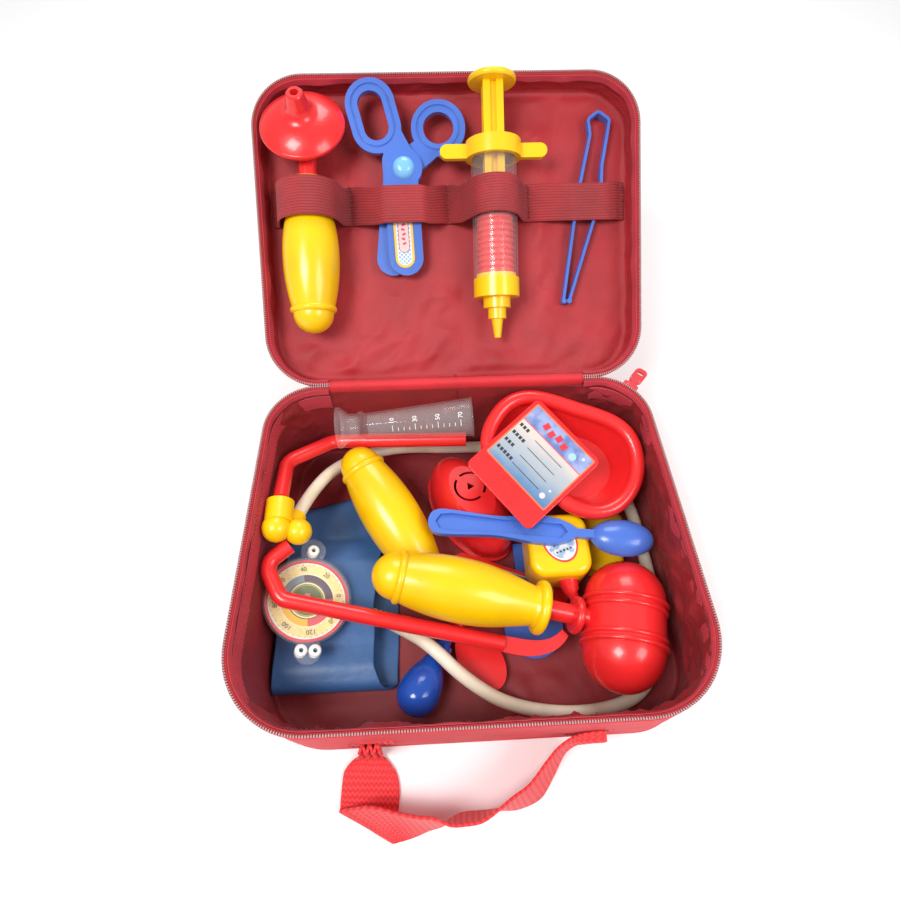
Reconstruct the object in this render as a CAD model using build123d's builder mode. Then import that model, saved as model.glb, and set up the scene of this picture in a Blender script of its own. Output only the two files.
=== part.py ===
"""Toy doctor case, open: a zipped fabric case with play instruments in lid and base.

Millimetres, +Z up, origin on the table under the middle of the base.
The hinge line runs along X at the back; the lid stands open behind it.
"""
import os
from math import atan2, cos, degrees, hypot, pi, radians, sin, tan

from build123d import *

os.makedirs("parts", exist_ok=True)

# ---- case -----------------------------------------------------------------
rim_height = 88.0
hinge_y = 110.0
hinge_gap = 0.3
hinge_room = 2.0
hinge_cord_radius = 1.6
wall = 2.4
rim_half_back = 130.0
rim_half_front = 145.0
rim_measured_at = 82.2
rim_front = -113.0
floor_left_back = -125.0
floor_right_back = 137.0
floor_left_front = -137.0
floor_right_front = 150.0
floor_back = 106.0
floor_front = -115.0
rim_radii = (48.0, 48.0, 35.0, 35.0)
floor_radii = (42.0, 42.0, 30.0, 30.0)
zip_height = 5.4
zip_gap = 0.4
coil_height = 1.6
coil_out = 0.8
coil_back = 3.0
zip_thick = 2.0
hinge_half = 88.0
board_thick = 1.4
board_gap = 0.1
floor_edge = 3.5

# ---- lid ------------------------------------------------------------------
lid_half_back = 131.0
lid_half_front = 135.0
lid_length = 212.0
lid_radius = 35.0
lid_depth = 25.0
lid_open = 30.6
lid_edge = 7.0

# ---- instruments ------------------------------------------------------------
grip_length = 115.0
grip_radius = 20.8
scope_grip_length = 104.0
scope_grip_radius = 19.3
shaft_radius = 6.4
head_radius = 27.0
head_length = 86.0
dish_length = 117.0
dish_width = 80.0
dish_depth = 23.0
dish_roll = 5.2
card_width = 62.0
card_height = 70.0
card_thick = 2.8
barrel_radius = 15.6
barrel_wall = 1.55
tube_radius = 4.5
arm_radius = 5.2
strap_width = 32.0
strap_thick = 1.3
seat = 0.3
fit = 0.06
touch = 0.02


def at(base, x=0.0, y=0.0, z=0.0, rx=0.0, ry=0.0, rz=0.0):
    """A plane placed in another plane's own coordinates."""
    return Plane(base.location * Location((x, y, z), (rx, ry, rz)))


def aim(start, end):
    """A plane at start whose x runs to end and whose z leans up."""
    run = (Vector(*end) - Vector(*start)).normalized()
    up = Vector(0, 0, 1)
    up = (up - run * run.dot(up)).normalized()
    return Plane(origin=start, x_dir=run, z_dir=up)


def inset(corners, step):
    """Move every side of a convex quad inwards."""
    out = []
    count = len(corners)
    sides = []
    for i in range(count):
        ax, ay = corners[i]
        bx, by = corners[(i + 1) % count]
        length = hypot(bx - ax, by - ay)
        nx, ny = (by - ay) / length, -(bx - ax) / length
        sides.append((nx, ny, nx * ax + ny * ay - step))
    for i in range(count):
        a1, b1, c1 = sides[i - 1]
        a2, b2, c2 = sides[i]
        det = a1 * b2 - a2 * b1
        out.append(((c1 * b2 - c2 * b1) / det, (a1 * c2 - a2 * c1) / det))
    return out


def rounded(plane, corners, radii):
    """A quad with its own radius at each corner."""
    with BuildSketch(plane) as face:
        Polygon(*corners, align=None)
        for corner, r in zip(corners, radii):
            fillet(face.vertices().sort_by_distance((corner[0], corner[1], 0))[0], r)
    return face.sketch.faces()[0]


def outline(plane, path):
    """A face from a list of points, arcs (mid, end) and splines."""
    with BuildSketch(plane) as face:
        with BuildLine():
            last = path[0]
            for step in path[1:]:
                if isinstance(step[0], (int, float)):
                    Line(last, step)
                    last = step
                elif len(step) == 2:
                    ThreePointArc(last, step[0], step[1])
                    last = step[1]
                else:
                    Spline(last, *step)
                    last = step[-1]
            Line(last, path[0])
        make_face()
    return face.sketch.faces()[0]


def spin(plane, path, mode=Mode.ADD):
    """Turn a profile (along x, radius y) about the plane's x line."""
    revolve(outline(plane, path), axis=Axis(plane.origin, plane.x_dir), mode=mode)


def grip(plane, length, belly):
    """The club-shaped toy handle: domed end, ridge, belly and round collar."""
    kx = length / 115.0
    kr = belly / 21.0

    def p(s, r):
        return (s * kx, r * kr)

    spin(plane, [
        p(0, 0),
        (p(4.6, 10.8), p(15.4, 15.2)),
        (p(17.6, 17.4), p(20.4, 16.2)),
        (p(30, 18.4), p(44, 20.4), p(60, 21), p(78, 19.6), p(94, 16.2), p(106, 13.2)),
        p(108, 14.2),
        (p(111.5, 17.9), p(115, 14.2)),
        p(115, 0),
    ])


wall_top = rim_height - zip_gap - zip_height
slope = wall_top / rim_measured_at


def rim_x(at_floor, at_rim):
    """Where a side wall ends, its slope being the same at any rim height."""
    return at_floor + (at_rim - at_floor) * slope


def back_wall(z):
    """Where the outside of the back wall is at a height."""
    return floor_back + (hinge_y - hinge_gap - floor_back) * z / wall_top


rim_corners = [
    (rim_x(floor_left_front, -rim_half_front), rim_front),
    (rim_x(floor_right_front, rim_half_front), rim_front),
    (rim_x(floor_right_back, rim_half_back), hinge_y - hinge_gap),
    (rim_x(floor_left_back, -rim_half_back), hinge_y - hinge_gap),
]
floor_corners = [
    (floor_left_front, floor_front),
    (floor_right_front, floor_front),
    (floor_right_back, floor_back),
    (floor_left_back, floor_back),
]
lid_corners = [
    (-lid_half_back, hinge_gap),
    (lid_half_back, hinge_gap),
    (lid_half_front, lid_length),
    (-lid_half_front, lid_length),
]
lid_radii = (lid_radius, lid_radius, lid_radius, lid_radius)
open_angle = radians(lid_open)
lid_plane = Plane(
    origin=(0, hinge_y, rim_height),
    x_dir=(1, 0, 0),
    z_dir=(0, -sin(open_angle), cos(open_angle)),
)
bed_w = -(lid_depth - wall) + board_gap + board_thick

# ---- base of the case ---------------------------------------------------------
with BuildPart() as base_shell:
    loft([
        rounded(Plane.XY, inset(floor_corners, floor_edge), [r - floor_edge for r in floor_radii]),
        rounded(Plane.XY.offset(floor_edge), floor_corners, floor_radii),
        rounded(Plane.XY.offset(wall_top), rim_corners, rim_radii),
    ], ruled=True)
    in_floor = inset(floor_corners, wall)
    in_rim = inset(rim_corners, wall)
    loft([
        rounded(Plane.XY.offset(wall), in_floor, [r - wall for r in floor_radii]),
        rounded(Plane.XY.offset(wall_top), in_rim, [r - wall for r in rim_radii]),
    ], ruled=True, mode=Mode.SUBTRACT)
    with BuildSketch(Plane.XY.offset(wall_top)):
        with Locations((0, hinge_y - hinge_gap - wall / 2)):
            Rectangle(2 * hinge_half, wall)
    extrude(amount=rim_height - hinge_room - wall_top)
base_shell.part.label = "base_shell"
export_step(base_shell.part, "parts/base_shell.step")

base_board_in = wall + 5
with BuildPart() as base_board:
    extrude(rounded(
        Plane.XY.offset(wall + board_gap),
        inset(floor_corners, base_board_in),
        [r - base_board_in for r in floor_radii],
    ), amount=board_thick)
base_board.part.label = "base_board"
export_step(base_board.part, "parts/base_board.step")
bed_z = wall + board_gap + board_thick

with BuildPart() as base_zip:
    extrude(rounded(
        Plane.XY.offset(rim_height - zip_gap - coil_height),
        inset(rim_corners, -coil_out),
        [r + coil_out for r in rim_radii],
    ), amount=coil_height)
    with BuildSketch(Plane.XY.offset(wall_top)):
        with Locations((0, hinge_y)):
            Rectangle(400, 2 * coil_back)
    extrude(amount=zip_height, mode=Mode.SUBTRACT)
    extrude(rounded(Plane.XY.offset(wall_top), rim_corners, rim_radii), amount=zip_height)
    extrude(rounded(
        Plane.XY.offset(wall_top),
        inset(rim_corners, zip_thick),
        [r - zip_thick for r in rim_radii],
    ), amount=zip_height, mode=Mode.SUBTRACT)
    with BuildSketch(Plane.XY.offset(wall_top)):
        with Locations((0, hinge_y)):
            Rectangle(2 * hinge_half + 1, 30)
    extrude(amount=zip_height, mode=Mode.SUBTRACT)
base_zip.part.label = "base_zip"
export_step(base_zip.part, "parts/base_zip.step")

with BuildPart(Plane.YZ.offset(-hinge_half + 1)) as hinge_strip:
    with BuildSketch(Plane(origin=(-hinge_half + 1, hinge_y, rim_height), z_dir=(1, 0, 0))):
        Circle(hinge_cord_radius)
    extrude(amount=2 * hinge_half - 2)
hinge_strip.part.label = "hinge_strip"
export_step(hinge_strip.part, "parts/hinge_strip.step")

# ---- zip slider and puller at the back right corner ------------------------------
corner_turn = radians(48.0)
rim_lean = atan2(rim_corners[1][0] - rim_corners[2][0], hinge_y - hinge_gap - rim_front)
corner_x = rim_corners[2][0] - rim_radii[2] * (1 - sin(rim_lean)) / cos(rim_lean)
corner_y = hinge_y - hinge_gap - rim_radii[2]
slider_reach = rim_radii[2] + coil_out + 2.4
slider_plane = Plane(
    origin=(
        corner_x + slider_reach * cos(corner_turn),
        corner_y + slider_reach * sin(corner_turn),
        rim_height - 5.4,
    ),
    x_dir=(-sin(corner_turn), cos(corner_turn), 0),
    z_dir=(0, 0, 1),
)
with BuildPart() as zip_slider:
    with BuildSketch(slider_plane.offset(-2.6)):
        RectangleRounded(11, 4.2, 1.4)
    extrude(amount=5.2)
    with BuildSketch(at(slider_plane, 0, -2.0, 0.4, 0, 90, 0).offset(-3.4)):
        with Locations((0, -0.9)):
            Rectangle(2.4, 2.4)
    extrude(amount=6.8)
zip_slider.part.label = "zip_slider"
export_step(zip_slider.part, "parts/zip_slider.step")

puller_plane = at(slider_plane, 0, -5.5, 0.4)
with BuildPart() as zip_puller:
    with BuildSketch(puller_plane.offset(-0.8)):
        with Locations((0, -6.0)):
            RectangleRounded(9.0, 14.0, 3.6)
        with Locations((0, -8.6)):
            SlotOverall(5.0, 2.2, mode=Mode.SUBTRACT)
    extrude(amount=1.6)
zip_puller.part.label = "zip_puller"
export_step(zip_puller.part, "parts/zip_puller.step")

# ---- carry handle of webbing, sewn to the front wall -------------------------------
front_lean = degrees(atan2(rim_front - floor_front, wall_top))
front_plane = at(Plane(origin=(0, floor_front, 0), x_dir=(1, 0, 0), z_dir=(0, -1, 0)), rx=-front_lean)
handle_left = -64.0
handle_right = 68.0
sewn_height = 38.0
tab_thick = 1.2
web_thick = 1.8
web_in = 0.1 + tab_thick + 0.2
for name, x0 in (("handle_tab_left", handle_left), ("handle_tab_right", handle_right)):
    with BuildPart() as tab:
        with BuildSketch(at(front_plane, x0, sewn_height - 4, 0.1)):
            RectangleRounded(30, 15, 1.0)
        extrude(amount=tab_thick)
    tab.part.label = name
    export_step(tab.part, "parts/" + name + ".step")

with BuildPart() as carry_handle:
    for x0, wide in ((handle_left, 32.0), (handle_right, 26.0)):
        with BuildSketch(at(front_plane, x0, 0, web_in)):
            with Locations((0, (0.4 + sewn_height) / 2)):
                Rectangle(wide, sewn_height - 0.4)
        extrude(amount=web_thick)
    web_y = floor_front - web_in
    with BuildSketch(Plane.XY.offset(0.5)):
        with BuildLine():
            Polyline(
                (handle_left - 16, web_y), (handle_left - 18, web_y - 28),
                (handle_left - 6, web_y - 46), (-18, web_y - 49), (34, web_y - 39),
                (66, web_y - 22), (handle_right + 13, web_y), (handle_right - 13, web_y),
                (50, web_y - 6), (22, web_y - 21), (-14, web_y - 29),
                (-40, web_y - 28), (handle_left + 16, web_y - 12), (handle_left + 16, web_y),
                close=True,
            )
        make_face()
    extrude(amount=2.2)
carry_handle.part.label = "carry_handle"
export_step(carry_handle.part, "parts/carry_handle.step")

# ---- lid of the case ------------------------------------------------------------
zip_w = -zip_gap - zip_height
with BuildPart() as lid_shell:
    extrude(rounded(lid_plane.offset(-lid_depth), lid_corners, lid_radii), amount=lid_depth + zip_w)
    fillet(
        lid_shell.edges().filter_by(
            lambda e: abs(lid_plane.to_local_coords(e.center()).Z + lid_depth) < 0.01
        ),
        lid_edge,
    )
    extrude(rounded(
        lid_plane.offset(-lid_depth + wall),
        inset(lid_corners, wall),
        [r - wall for r in lid_radii],
    ), amount=lid_depth, mode=Mode.SUBTRACT)
    with BuildSketch(lid_plane.offset(zip_w)):
        with Locations((0, hinge_gap + wall / 2)):
            Rectangle(2 * hinge_half, wall)
    extrude(amount=-hinge_room - zip_w)
lid_shell.part.label = "lid_shell"
export_step(lid_shell.part, "parts/lid_shell.step")

lid_board_in = wall + 4
with BuildPart() as lid_board:
    extrude(rounded(
        lid_plane.offset(-lid_depth + wall + board_gap),
        inset(lid_corners, lid_board_in),
        [r - lid_board_in for r in lid_radii],
    ), amount=board_thick)
lid_board.part.label = "lid_board"
export_step(lid_board.part, "parts/lid_board.step")

with BuildPart() as lid_zip:
    extrude(rounded(
        lid_plane.offset(-zip_gap - coil_height),
        inset(lid_corners, -coil_out),
        [r + coil_out for r in lid_radii],
    ), amount=coil_height)
    with BuildSketch(lid_plane.offset(zip_w)):
        Rectangle(400, 2 * coil_back)
    extrude(amount=zip_height, mode=Mode.SUBTRACT)
    extrude(rounded(lid_plane.offset(zip_w), lid_corners, lid_radii), amount=zip_height)
    extrude(rounded(
        lid_plane.offset(zip_w),
        inset(lid_corners, zip_thick),
        [r - zip_thick for r in lid_radii],
    ), amount=zip_height, mode=Mode.SUBTRACT)
    with BuildSketch(lid_plane.offset(zip_w)):
        Rectangle(2 * hinge_half + 1, 30)
    extrude(amount=zip_height, mode=Mode.SUBTRACT)
lid_zip.part.label = "lid_zip"
export_step(lid_zip.part, "parts/lid_zip.step")

# ---- ear scope in the lid -----------------------------------------------------------
scope_x = -98.0
scope_end = 36.0
scope_w = bed_w + seat + scope_grip_radius
scope = at(lid_plane, scope_x, scope_end, scope_w, 0, 0, 90)
with BuildPart() as scope_handle:
    grip(scope, scope_grip_length, scope_grip_radius)
scope_handle.part.label = "scope_handle"
export_step(scope_handle.part, "parts/scope_handle.step")

scope_tilt = 20.0
scope_head_plane = at(lid_plane, scope_x - 1.5, 176.0, 2.0, -scope_tilt, -90, 0)
with BuildPart() as scope_head:
    spin(at(scope, scope_grip_length + 0.02), [(0, 0), (0, 6.4), (20, 6.4), (26, 9), (36, 9), (36, 0)])
    spin(scope_head_plane, [
        (-13, 0), (-13, 12), (-9, 19), (-3, 22), (-1.6, 28.0),
        ((0.6, 29.0), (2.4, 27.8)),
        ((7.0, 22), (10.5, 14)),
        ((13.5, 9.2), (18, 7.4)),
        (26, 5.6), (27, 4.8), (27, 0),
    ])
    spin(scope_head_plane, [(17, 0), (17, 2.4), (28, 2.8), (28, 0)], mode=Mode.SUBTRACT)
scope_head.part.label = "scope_head"
export_step(scope_head.part, "parts/scope_head.step")

# ---- scissors in the lid --------------------------------------------------------------
blade_thick = 4.6
blade_gap = 0.2
scissor_lean = 5.0
scissor_open = 9.0
scissor_w = bed_w + 12.8
scissor = at(lid_plane, -32.0, 149.5, scissor_w, scissor_lean, 0, 0)
pin_radius = 3.4


def stadium(cx, cy, turn, length, wide, mode=Mode.ADD):
    with Locations((cx, cy)):
        SlotOverall(length, wide, rotation=turn, mode=mode)


with BuildPart() as scissor_front:
    with BuildSketch(scissor):
        Circle(13.0)
        stadium(-1.5, -28.5, 92, 89, 24.0)
        Polygon((-9, 2), (9, 6), (-2, 27), (-20, 20), align=None)
        stadium(-19.5, 34.5, 104, 50, 34)
        stadium(-19.5, 34.5, 104, 33, 17, mode=Mode.SUBTRACT)
        Circle(pin_radius + fit, mode=Mode.SUBTRACT)
    extrude(amount=blade_thick)
    with BuildSketch(scissor.offset(blade_thick)):
        stadium(-2.0, -40.0, 92, 56, 14.4)
    extrude(amount=-1.0, mode=Mode.SUBTRACT)
    with BuildSketch(scissor.offset(blade_thick)):
        stadium(-19.5, 34.5, 104, 43, 27)
        stadium(-19.5, 34.5, 104, 40, 24, mode=Mode.SUBTRACT)
    extrude(amount=-0.9, mode=Mode.SUBTRACT)
scissor_front.part.label = "scissor_front"
export_step(scissor_front.part, "parts/scissor_front.step")

scissor_back_plane = at(scissor, 0, 0, -blade_gap - blade_thick, 0, 0, -scissor_open)
with BuildPart() as scissor_back:
    with BuildSketch(scissor_back_plane):
        Circle(13.0)
        stadium(-1.5, -28.5, 92, 89, 23.0)
        Polygon((-11, 6), (7, -4), (26, 16), (12, 26), align=None)
        with Locations((20.6, 31.0)):
            Circle(19.0)
            Circle(10.6, mode=Mode.SUBTRACT)
        Circle(pin_radius + fit, mode=Mode.SUBTRACT)
    extrude(amount=blade_thick)
    with BuildSketch(scissor_back_plane.offset(blade_thick)):
        with Locations((20.6, 31.0)):
            Circle(15.6)
            Circle(14.0, mode=Mode.SUBTRACT)
    extrude(amount=-0.9, mode=Mode.SUBTRACT)
scissor_back.part.label = "scissor_back"
export_step(scissor_back.part, "parts/scissor_back.step")

pin_plane = at(scissor, 0, 0, 0, 0, -90, 0)
with BuildPart() as scissor_pin:
    spin(pin_plane, [
        (-blade_thick - blade_gap - 0.3, 0),
        (-blade_thick - blade_gap - 0.3, pin_radius),
        (blade_thick + 0.1, pin_radius),
        (blade_thick + 0.1, 7.6),
        ((blade_thick + 3.0, 5.2), (blade_thick + 4.0, 1.4)),
        (blade_thick + 4.0, 0),
    ])
scissor_pin.part.label = "scissor_pin"
export_step(scissor_pin.part, "parts/scissor_pin.step")

with BuildPart() as scissor_label:
    with BuildSketch(scissor.offset(blade_thick - 1.0)):
        stadium(-2.0, -40.0, 92, 55.4, 13.8)
    extrude(amount=0.4)
scissor_label.part.label = "scissor_label"
export_step(scissor_label.part, "parts/scissor_label.step")

# ---- syringe in the lid -----------------------------------------------------------------
syringe_tilt = 4.0
syringe_x = 30.4
syringe_end = 30.0
syringe_low = bed_w + seat + barrel_radius - 1.8
syringe = at(at(lid_plane, syringe_x, syringe_end, syringe_low, 0, 0, 90), ry=-syringe_tilt)
barrel_bore = barrel_radius - barrel_wall
neck_radius = barrel_radius - 5.3
collar_radius = barrel_radius + 3.4
barrel_start = 41.0
barrel_end = 127.5
collar_end = 133.0
disc_at = 171.0
rod_half = 6.9
bore_half = rod_half + 0.3

with BuildPart() as syringe_nozzle:
    spin(syringe, [
        (0, 0), (0, 2.4), (13, 4.2), (13.2, 6.4), (20.5, 6.4), (20.7, 9.6), (27.8, 9.6),
        (28, barrel_radius + 0.4), (barrel_start, barrel_radius + 0.4),
        (barrel_start, barrel_bore - 0.05), (barrel_start + 3, barrel_bore - 0.05),
        (barrel_start + 3, 0),
    ])
syringe_nozzle.part.label = "syringe_nozzle"
export_step(syringe_nozzle.part, "parts/syringe_nozzle.step")

with BuildPart() as syringe_barrel:
    spin(syringe, [
        (barrel_start + touch, barrel_bore), (barrel_start + touch, barrel_radius),
        (barrel_end, barrel_radius), (barrel_end, barrel_bore),
    ])
syringe_barrel.part.label = "syringe_barrel"
export_step(syringe_barrel.part, "parts/syringe_barrel.step")

column_start = barrel_start + 3 + touch
column_end = 84.0
column_valley = barrel_radius - 4.4
column_crest = barrel_radius - 2.8
column_bore = rod_half * 1.4142 + 0.1
ribs = 10
rib_pitch = (column_end - column_start) / ribs
column_path = [(column_start, column_valley)]
for i in range(ribs):
    s0 = column_start + i * rib_pitch
    column_path.append((s0 + 0.15 * rib_pitch, column_crest))
    column_path.append((s0 + 0.65 * rib_pitch, column_crest))
    column_path.append((s0 + 0.95 * rib_pitch, column_valley))
column_path += [(column_end, column_valley), (column_end, column_bore), (column_start, column_bore)]
with BuildPart() as syringe_column:
    spin(syringe, column_path)
syringe_column.part.label = "syringe_column"
export_step(syringe_column.part, "parts/syringe_column.step")

lip_radius = barrel_radius + touch
lip_at = barrel_end + touch
with BuildPart() as syringe_collar:
    spin(syringe, [
        (barrel_end - 6, lip_radius), (barrel_end - 6, collar_radius), (collar_end, collar_radius),
        (collar_end, neck_radius), (lip_at, neck_radius), (lip_at, lip_radius),
    ])
    with BuildSketch(at(syringe, barrel_end - 1.0, 0, -2.6)):
        for side in (-1, 1):
            with Locations((0, side * (collar_radius + 6.0))):
                SlotOverall(24, 9.5, rotation=90)
    extrude(amount=5.2)
    spin(syringe, [
        (barrel_end - 8, 0), (barrel_end - 8, lip_radius), (lip_at, lip_radius),
        (lip_at, neck_radius), (collar_end + 1, neck_radius), (collar_end + 1, 0),
    ], mode=Mode.SUBTRACT)
    with BuildSketch(at(syringe, lip_at, 0, 0, 0, 90, 0)):
        Circle(neck_radius + 0.1)
        Rectangle(2 * bore_half, 2 * bore_half, mode=Mode.SUBTRACT)
    extrude(amount=collar_end - lip_at)
syringe_collar.part.label = "syringe_collar"
export_step(syringe_collar.part, "parts/syringe_collar.step")

rod_start = 108.0
with BuildPart() as syringe_plunger:
    with BuildSketch(at(syringe, rod_start, 0, 0, 0, 90, 0)):
        Rectangle(2 * rod_half, 2 * rod_half)
        for turn in (0, 90, 180, 270):
            with PolarLocations(rod_half - 1.2, 1, start_angle=turn):
                Rectangle(2.6, 4.0, mode=Mode.SUBTRACT)
    extrude(amount=disc_at - rod_start)
    spin(syringe, [
        (disc_at, 0), (disc_at, 15.6), ((disc_at + 2.0, 16.6), (disc_at + 4.0, 15.6)),
        (disc_at + 4.0, 4.0), (disc_at + 5.4, 3.4), (disc_at + 5.4, 0),
    ])
syringe_plunger.part.label = "syringe_plunger"
export_step(syringe_plunger.part, "parts/syringe_plunger.step")

# ---- tweezers in the lid --------------------------------------------------------------------
with BuildPart() as tweezers:
    with BuildSketch(lid_plane.offset(bed_w + 0.2)):
        with BuildLine() as bow:
            FilletPolyline(
                (80.2, 57), (92.5, 131), (102.6, 174), (101.4, 185), (109, 190.5),
                (117.0, 184.5), (115.0, 174), (110.6, 152), (109.4, 130), (84.6, 57),
                radius=3.0,
            )
        trace(line_width=2.0)
        with Locations((80.6, 56.0), (84.4, 56.0)):
            Circle(1.75)
    extrude(amount=7.0)
tweezers.part.label = "tweezers"
export_step(tweezers.part, "parts/tweezers.step")

# ---- elastic strap across the lid -------------------------------------------------------------
strap_v = 124.0
strap_foot = bed_w + strap_thick / 2 + 0.08
scope_top = scope_w + scope_grip_radius + 1.0
scope_side = scope_grip_radius + 2.3
syringe_mid = syringe_low + (strap_v - syringe_end) * sin(radians(syringe_tilt))
syringe_side = barrel_radius + 2.4
syringe_top = syringe_mid + barrel_radius + 2.8
with BuildPart() as elastic_strap:
    # the strap section lies across the lid, so its own y is the height above the bed
    section = at(lid_plane, 0, strap_v + strap_width / 2, 0, 90, 0, 0)
    with BuildSketch(section):
        with BuildLine():
            FilletPolyline(
                (scope_x - scope_side - 4.4, strap_foot),
                (scope_x - scope_side - 0.9, strap_foot + 1.5),
                (scope_x - scope_side, scope_w), (scope_x - 12, scope_top - 0.5),
                (scope_x, scope_top + 2.4), (scope_x + 12, scope_top - 0.5),
                (scope_x + scope_side - 0.2, scope_w),
                (scope_x + scope_side + 2.2, strap_foot + 1.0),
                (scope_x + scope_side + 6.9, strap_foot + 0.6),
                (-57, strap_foot + 14.6), (-44, strap_foot + 18.4), (-20, strap_foot + 18.4),
                (-8, strap_foot + 11), (0, strap_foot + 0.6), (6, strap_foot + 0.8),
                (syringe_x - syringe_side, syringe_mid - 4),
                (syringe_x - syringe_side + 2.2, syringe_top - 7.4),
                (syringe_x - 6.5, syringe_top), (syringe_x + 6.5, syringe_top),
                (syringe_x + syringe_side - 2.0, syringe_top - 7.4),
                (syringe_x + syringe_side + 0.2, syringe_mid - 4),
                (56, strap_foot + 0.8), (63, strap_foot + 0.6), (80, strap_foot + 8.8),
                (114, strap_foot + 8.8), (124, strap_foot + 0.5), (127.5, strap_foot + 0.2),
                radius=1.6,
            )
        trace(line_width=strap_thick)
    extrude(amount=strap_width)
elastic_strap.part.label = "elastic_strap"
export_step(elastic_strap.part, "parts/elastic_strap.step")

# ---- hammer lying on top in the base ---------------------------------------------------------
hammer = aim((-60.6, -17.9, 66.0), (106.9, -53.6, 33.4))
head_at = 170.0
with BuildPart() as hammer_handle:
    grip(hammer, grip_length, grip_radius)
hammer_handle.part.label = "hammer_handle"
export_step(hammer_handle.part, "parts/hammer_handle.step")

head_plane = at(at(hammer, head_at, 0, 0, 0, 0, 90), rx=-90)
half = head_length / 2
straight = half - head_radius
dome = head_radius * cos(radians(45))
with BuildPart() as hammer_head:
    spin(at(hammer, grip_length + 0.02), [(0, 0), (0, shaft_radius), (40, shaft_radius), (40, 0)])
    spin(at(hammer, 134.0), [(0, 0), (0, 11.0), ((2.4, 12.4), (5.0, 11.0)), (5.4, 8.0), (5.4, 0)])
    capsule = [
        (-half, 0),
        ((-straight - dome, dome), (-straight, head_radius)),
    ]
    for place, bead in ((-14.0, 1.9), (-9.0, 1.3), (9.0, 1.3), (14.0, 1.9)):
        capsule.append((place - 1.6, head_radius))
        capsule.append(((place, head_radius + bead), (place + 1.6, head_radius)))
    capsule.append((straight, head_radius))
    capsule.append(((straight + dome, dome), (half, 0)))
    spin(head_plane, capsule)
hammer_head.part.label = "hammer_head"
export_step(hammer_head.part, "parts/hammer_head.step")

# ---- second handled instrument, underneath ----------------------------------------------------
mirror = aim((-79.0, 81.0, 44.7), (-21.5, -16.0, 22.7))
paddle_plane = Plane(origin=(8.0, -65.5, 8.4), x_dir=(0.508, -0.861, 0), z_dir=(0, 0, 1))
with BuildPart() as mirror_handle:
    grip(mirror, grip_length, grip_radius - 0.4)
mirror_handle.part.label = "mirror_handle"
export_step(mirror_handle.part, "parts/mirror_handle.step")
with BuildPart() as mirror_head:
    stem = aim(
        tuple(at(mirror, grip_length + 0.02).origin),
        (-4.0, -45.2, 10.4),
    )
    with BuildSketch(at(mirror, grip_length + 0.02, 0, 0, 0, 90, 0)):
        Circle(5.0)
    with BuildSketch(at(stem, 41, 0, 0, 0, 90, 0)):
        Circle(4.0)
    loft()
    with BuildSketch(paddle_plane.offset(-3)):
        Ellipse(22.5, 14.5)
    extrude(amount=6)
    fillet(mirror_head.edges().group_by(Axis.Z)[-1], 2.4)
mirror_head.part.label = "mirror_head"
export_step(mirror_head.part, "parts/mirror_head.step")

# ---- play stethoscope ----------------------------------------------------------------------------
ball = (-122.6, 13.0, 68.0)
knob = (-109.4, 12.0, 62.6)
with BuildPart() as sth_yoke:
    with Locations(ball):
        Sphere(9.4)
    with Locations(knob):
        Sphere(8.8)
    with BuildSketch(Plane(origin=(-121.8, 17.0, 67.6), z_dir=(0, 1, -0.06))):
        Circle(9.2)
    extrude(amount=15.0)
    with BuildSketch(Plane(origin=(-115.4, 13.0, 62.4), z_dir=(0.2, 0.86, -0.47))):
        Circle(6.0)
    extrude(amount=15.0)
sth_yoke.part.label = "sth_yoke"
export_step(sth_yoke.part, "parts/sth_yoke.step")


def rod(points, bend, r):
    """A round rod through filleted points; the section is set on the first run."""
    with BuildLine() as path:
        FilletPolyline(*points, radius=bend)
    start = Vector(*points[0])
    run = Vector(*points[1]) - start
    with BuildSketch(Plane(origin=start, z_dir=run)) as ring:
        Circle(r)
    sweep(ring.sketch, path=path.wire())


with BuildPart() as sth_arm_upper:
    rod(
        [(-121.9, 34.2, 66.1), (-122.4, 68.0, 55.0), (-92.0, 90.2, 43.0), (6.0, 84.0, 50.0)],
        14.0, arm_radius,
    )
sth_arm_upper.part.label = "sth_arm_upper"
export_step(sth_arm_upper.part, "parts/sth_arm_upper.step")

with BuildPart() as sth_arm_lower:
    rod(
        [(-114.8, 3.7, 59.3), (-130.6, -8.0, 58.0), (-119.0, -30.5, 56.0), (22.0, -60.6, 35.0)],
        9.5, arm_radius,
    )
    tip = Plane(origin=(20.5, -60.3, 35.2), x_dir=(0.97, -0.207, -0.12), z_dir=(0.1, -0.1, 0.99))
    with BuildSketch(tip.offset(-2.1)):
        with BuildLine():
            Spline((0, 4.6), (16, 5.0), (30, 8.2), (38.5, 16.0))
            Line((38.5, 16.0), (43, 12.4))
            Spline((43, 12.4), (36, 2.6), (20, -4.6), (0, -4.8))
            Line((0, -4.8), (0, 4.6))
        make_face()
    extrude(amount=4.2)
sth_arm_lower.part.label = "sth_arm_lower"
export_step(sth_arm_lower.part, "parts/sth_arm_lower.step")

hose_points = [
    (-112.4, 26.0, 55.3), (-108.0, 46.0, 44.6), (-92.0, 78.0, 27.0), (-52.0, 98.0, 17.0),
    (2.0, 97.0, 12.0), (58.0, 99.0, 11.0), (108.0, 94.0, 10.2), (131.0, 50.0, 10.0),
    (134.5, 0.0, 10.4), (135.5, -50.0, 10.0), (118.0, -94.0, 10.2), (74.0, -104.0, 10.0),
    (26.0, -97.0, 12.0), (-4.0, -80.0, 25.0), (-26.0, -58.0, 32.2), (-45.0, -44.5, 21.2),
    (-61.2, -34.1, 14.2),
]


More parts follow.
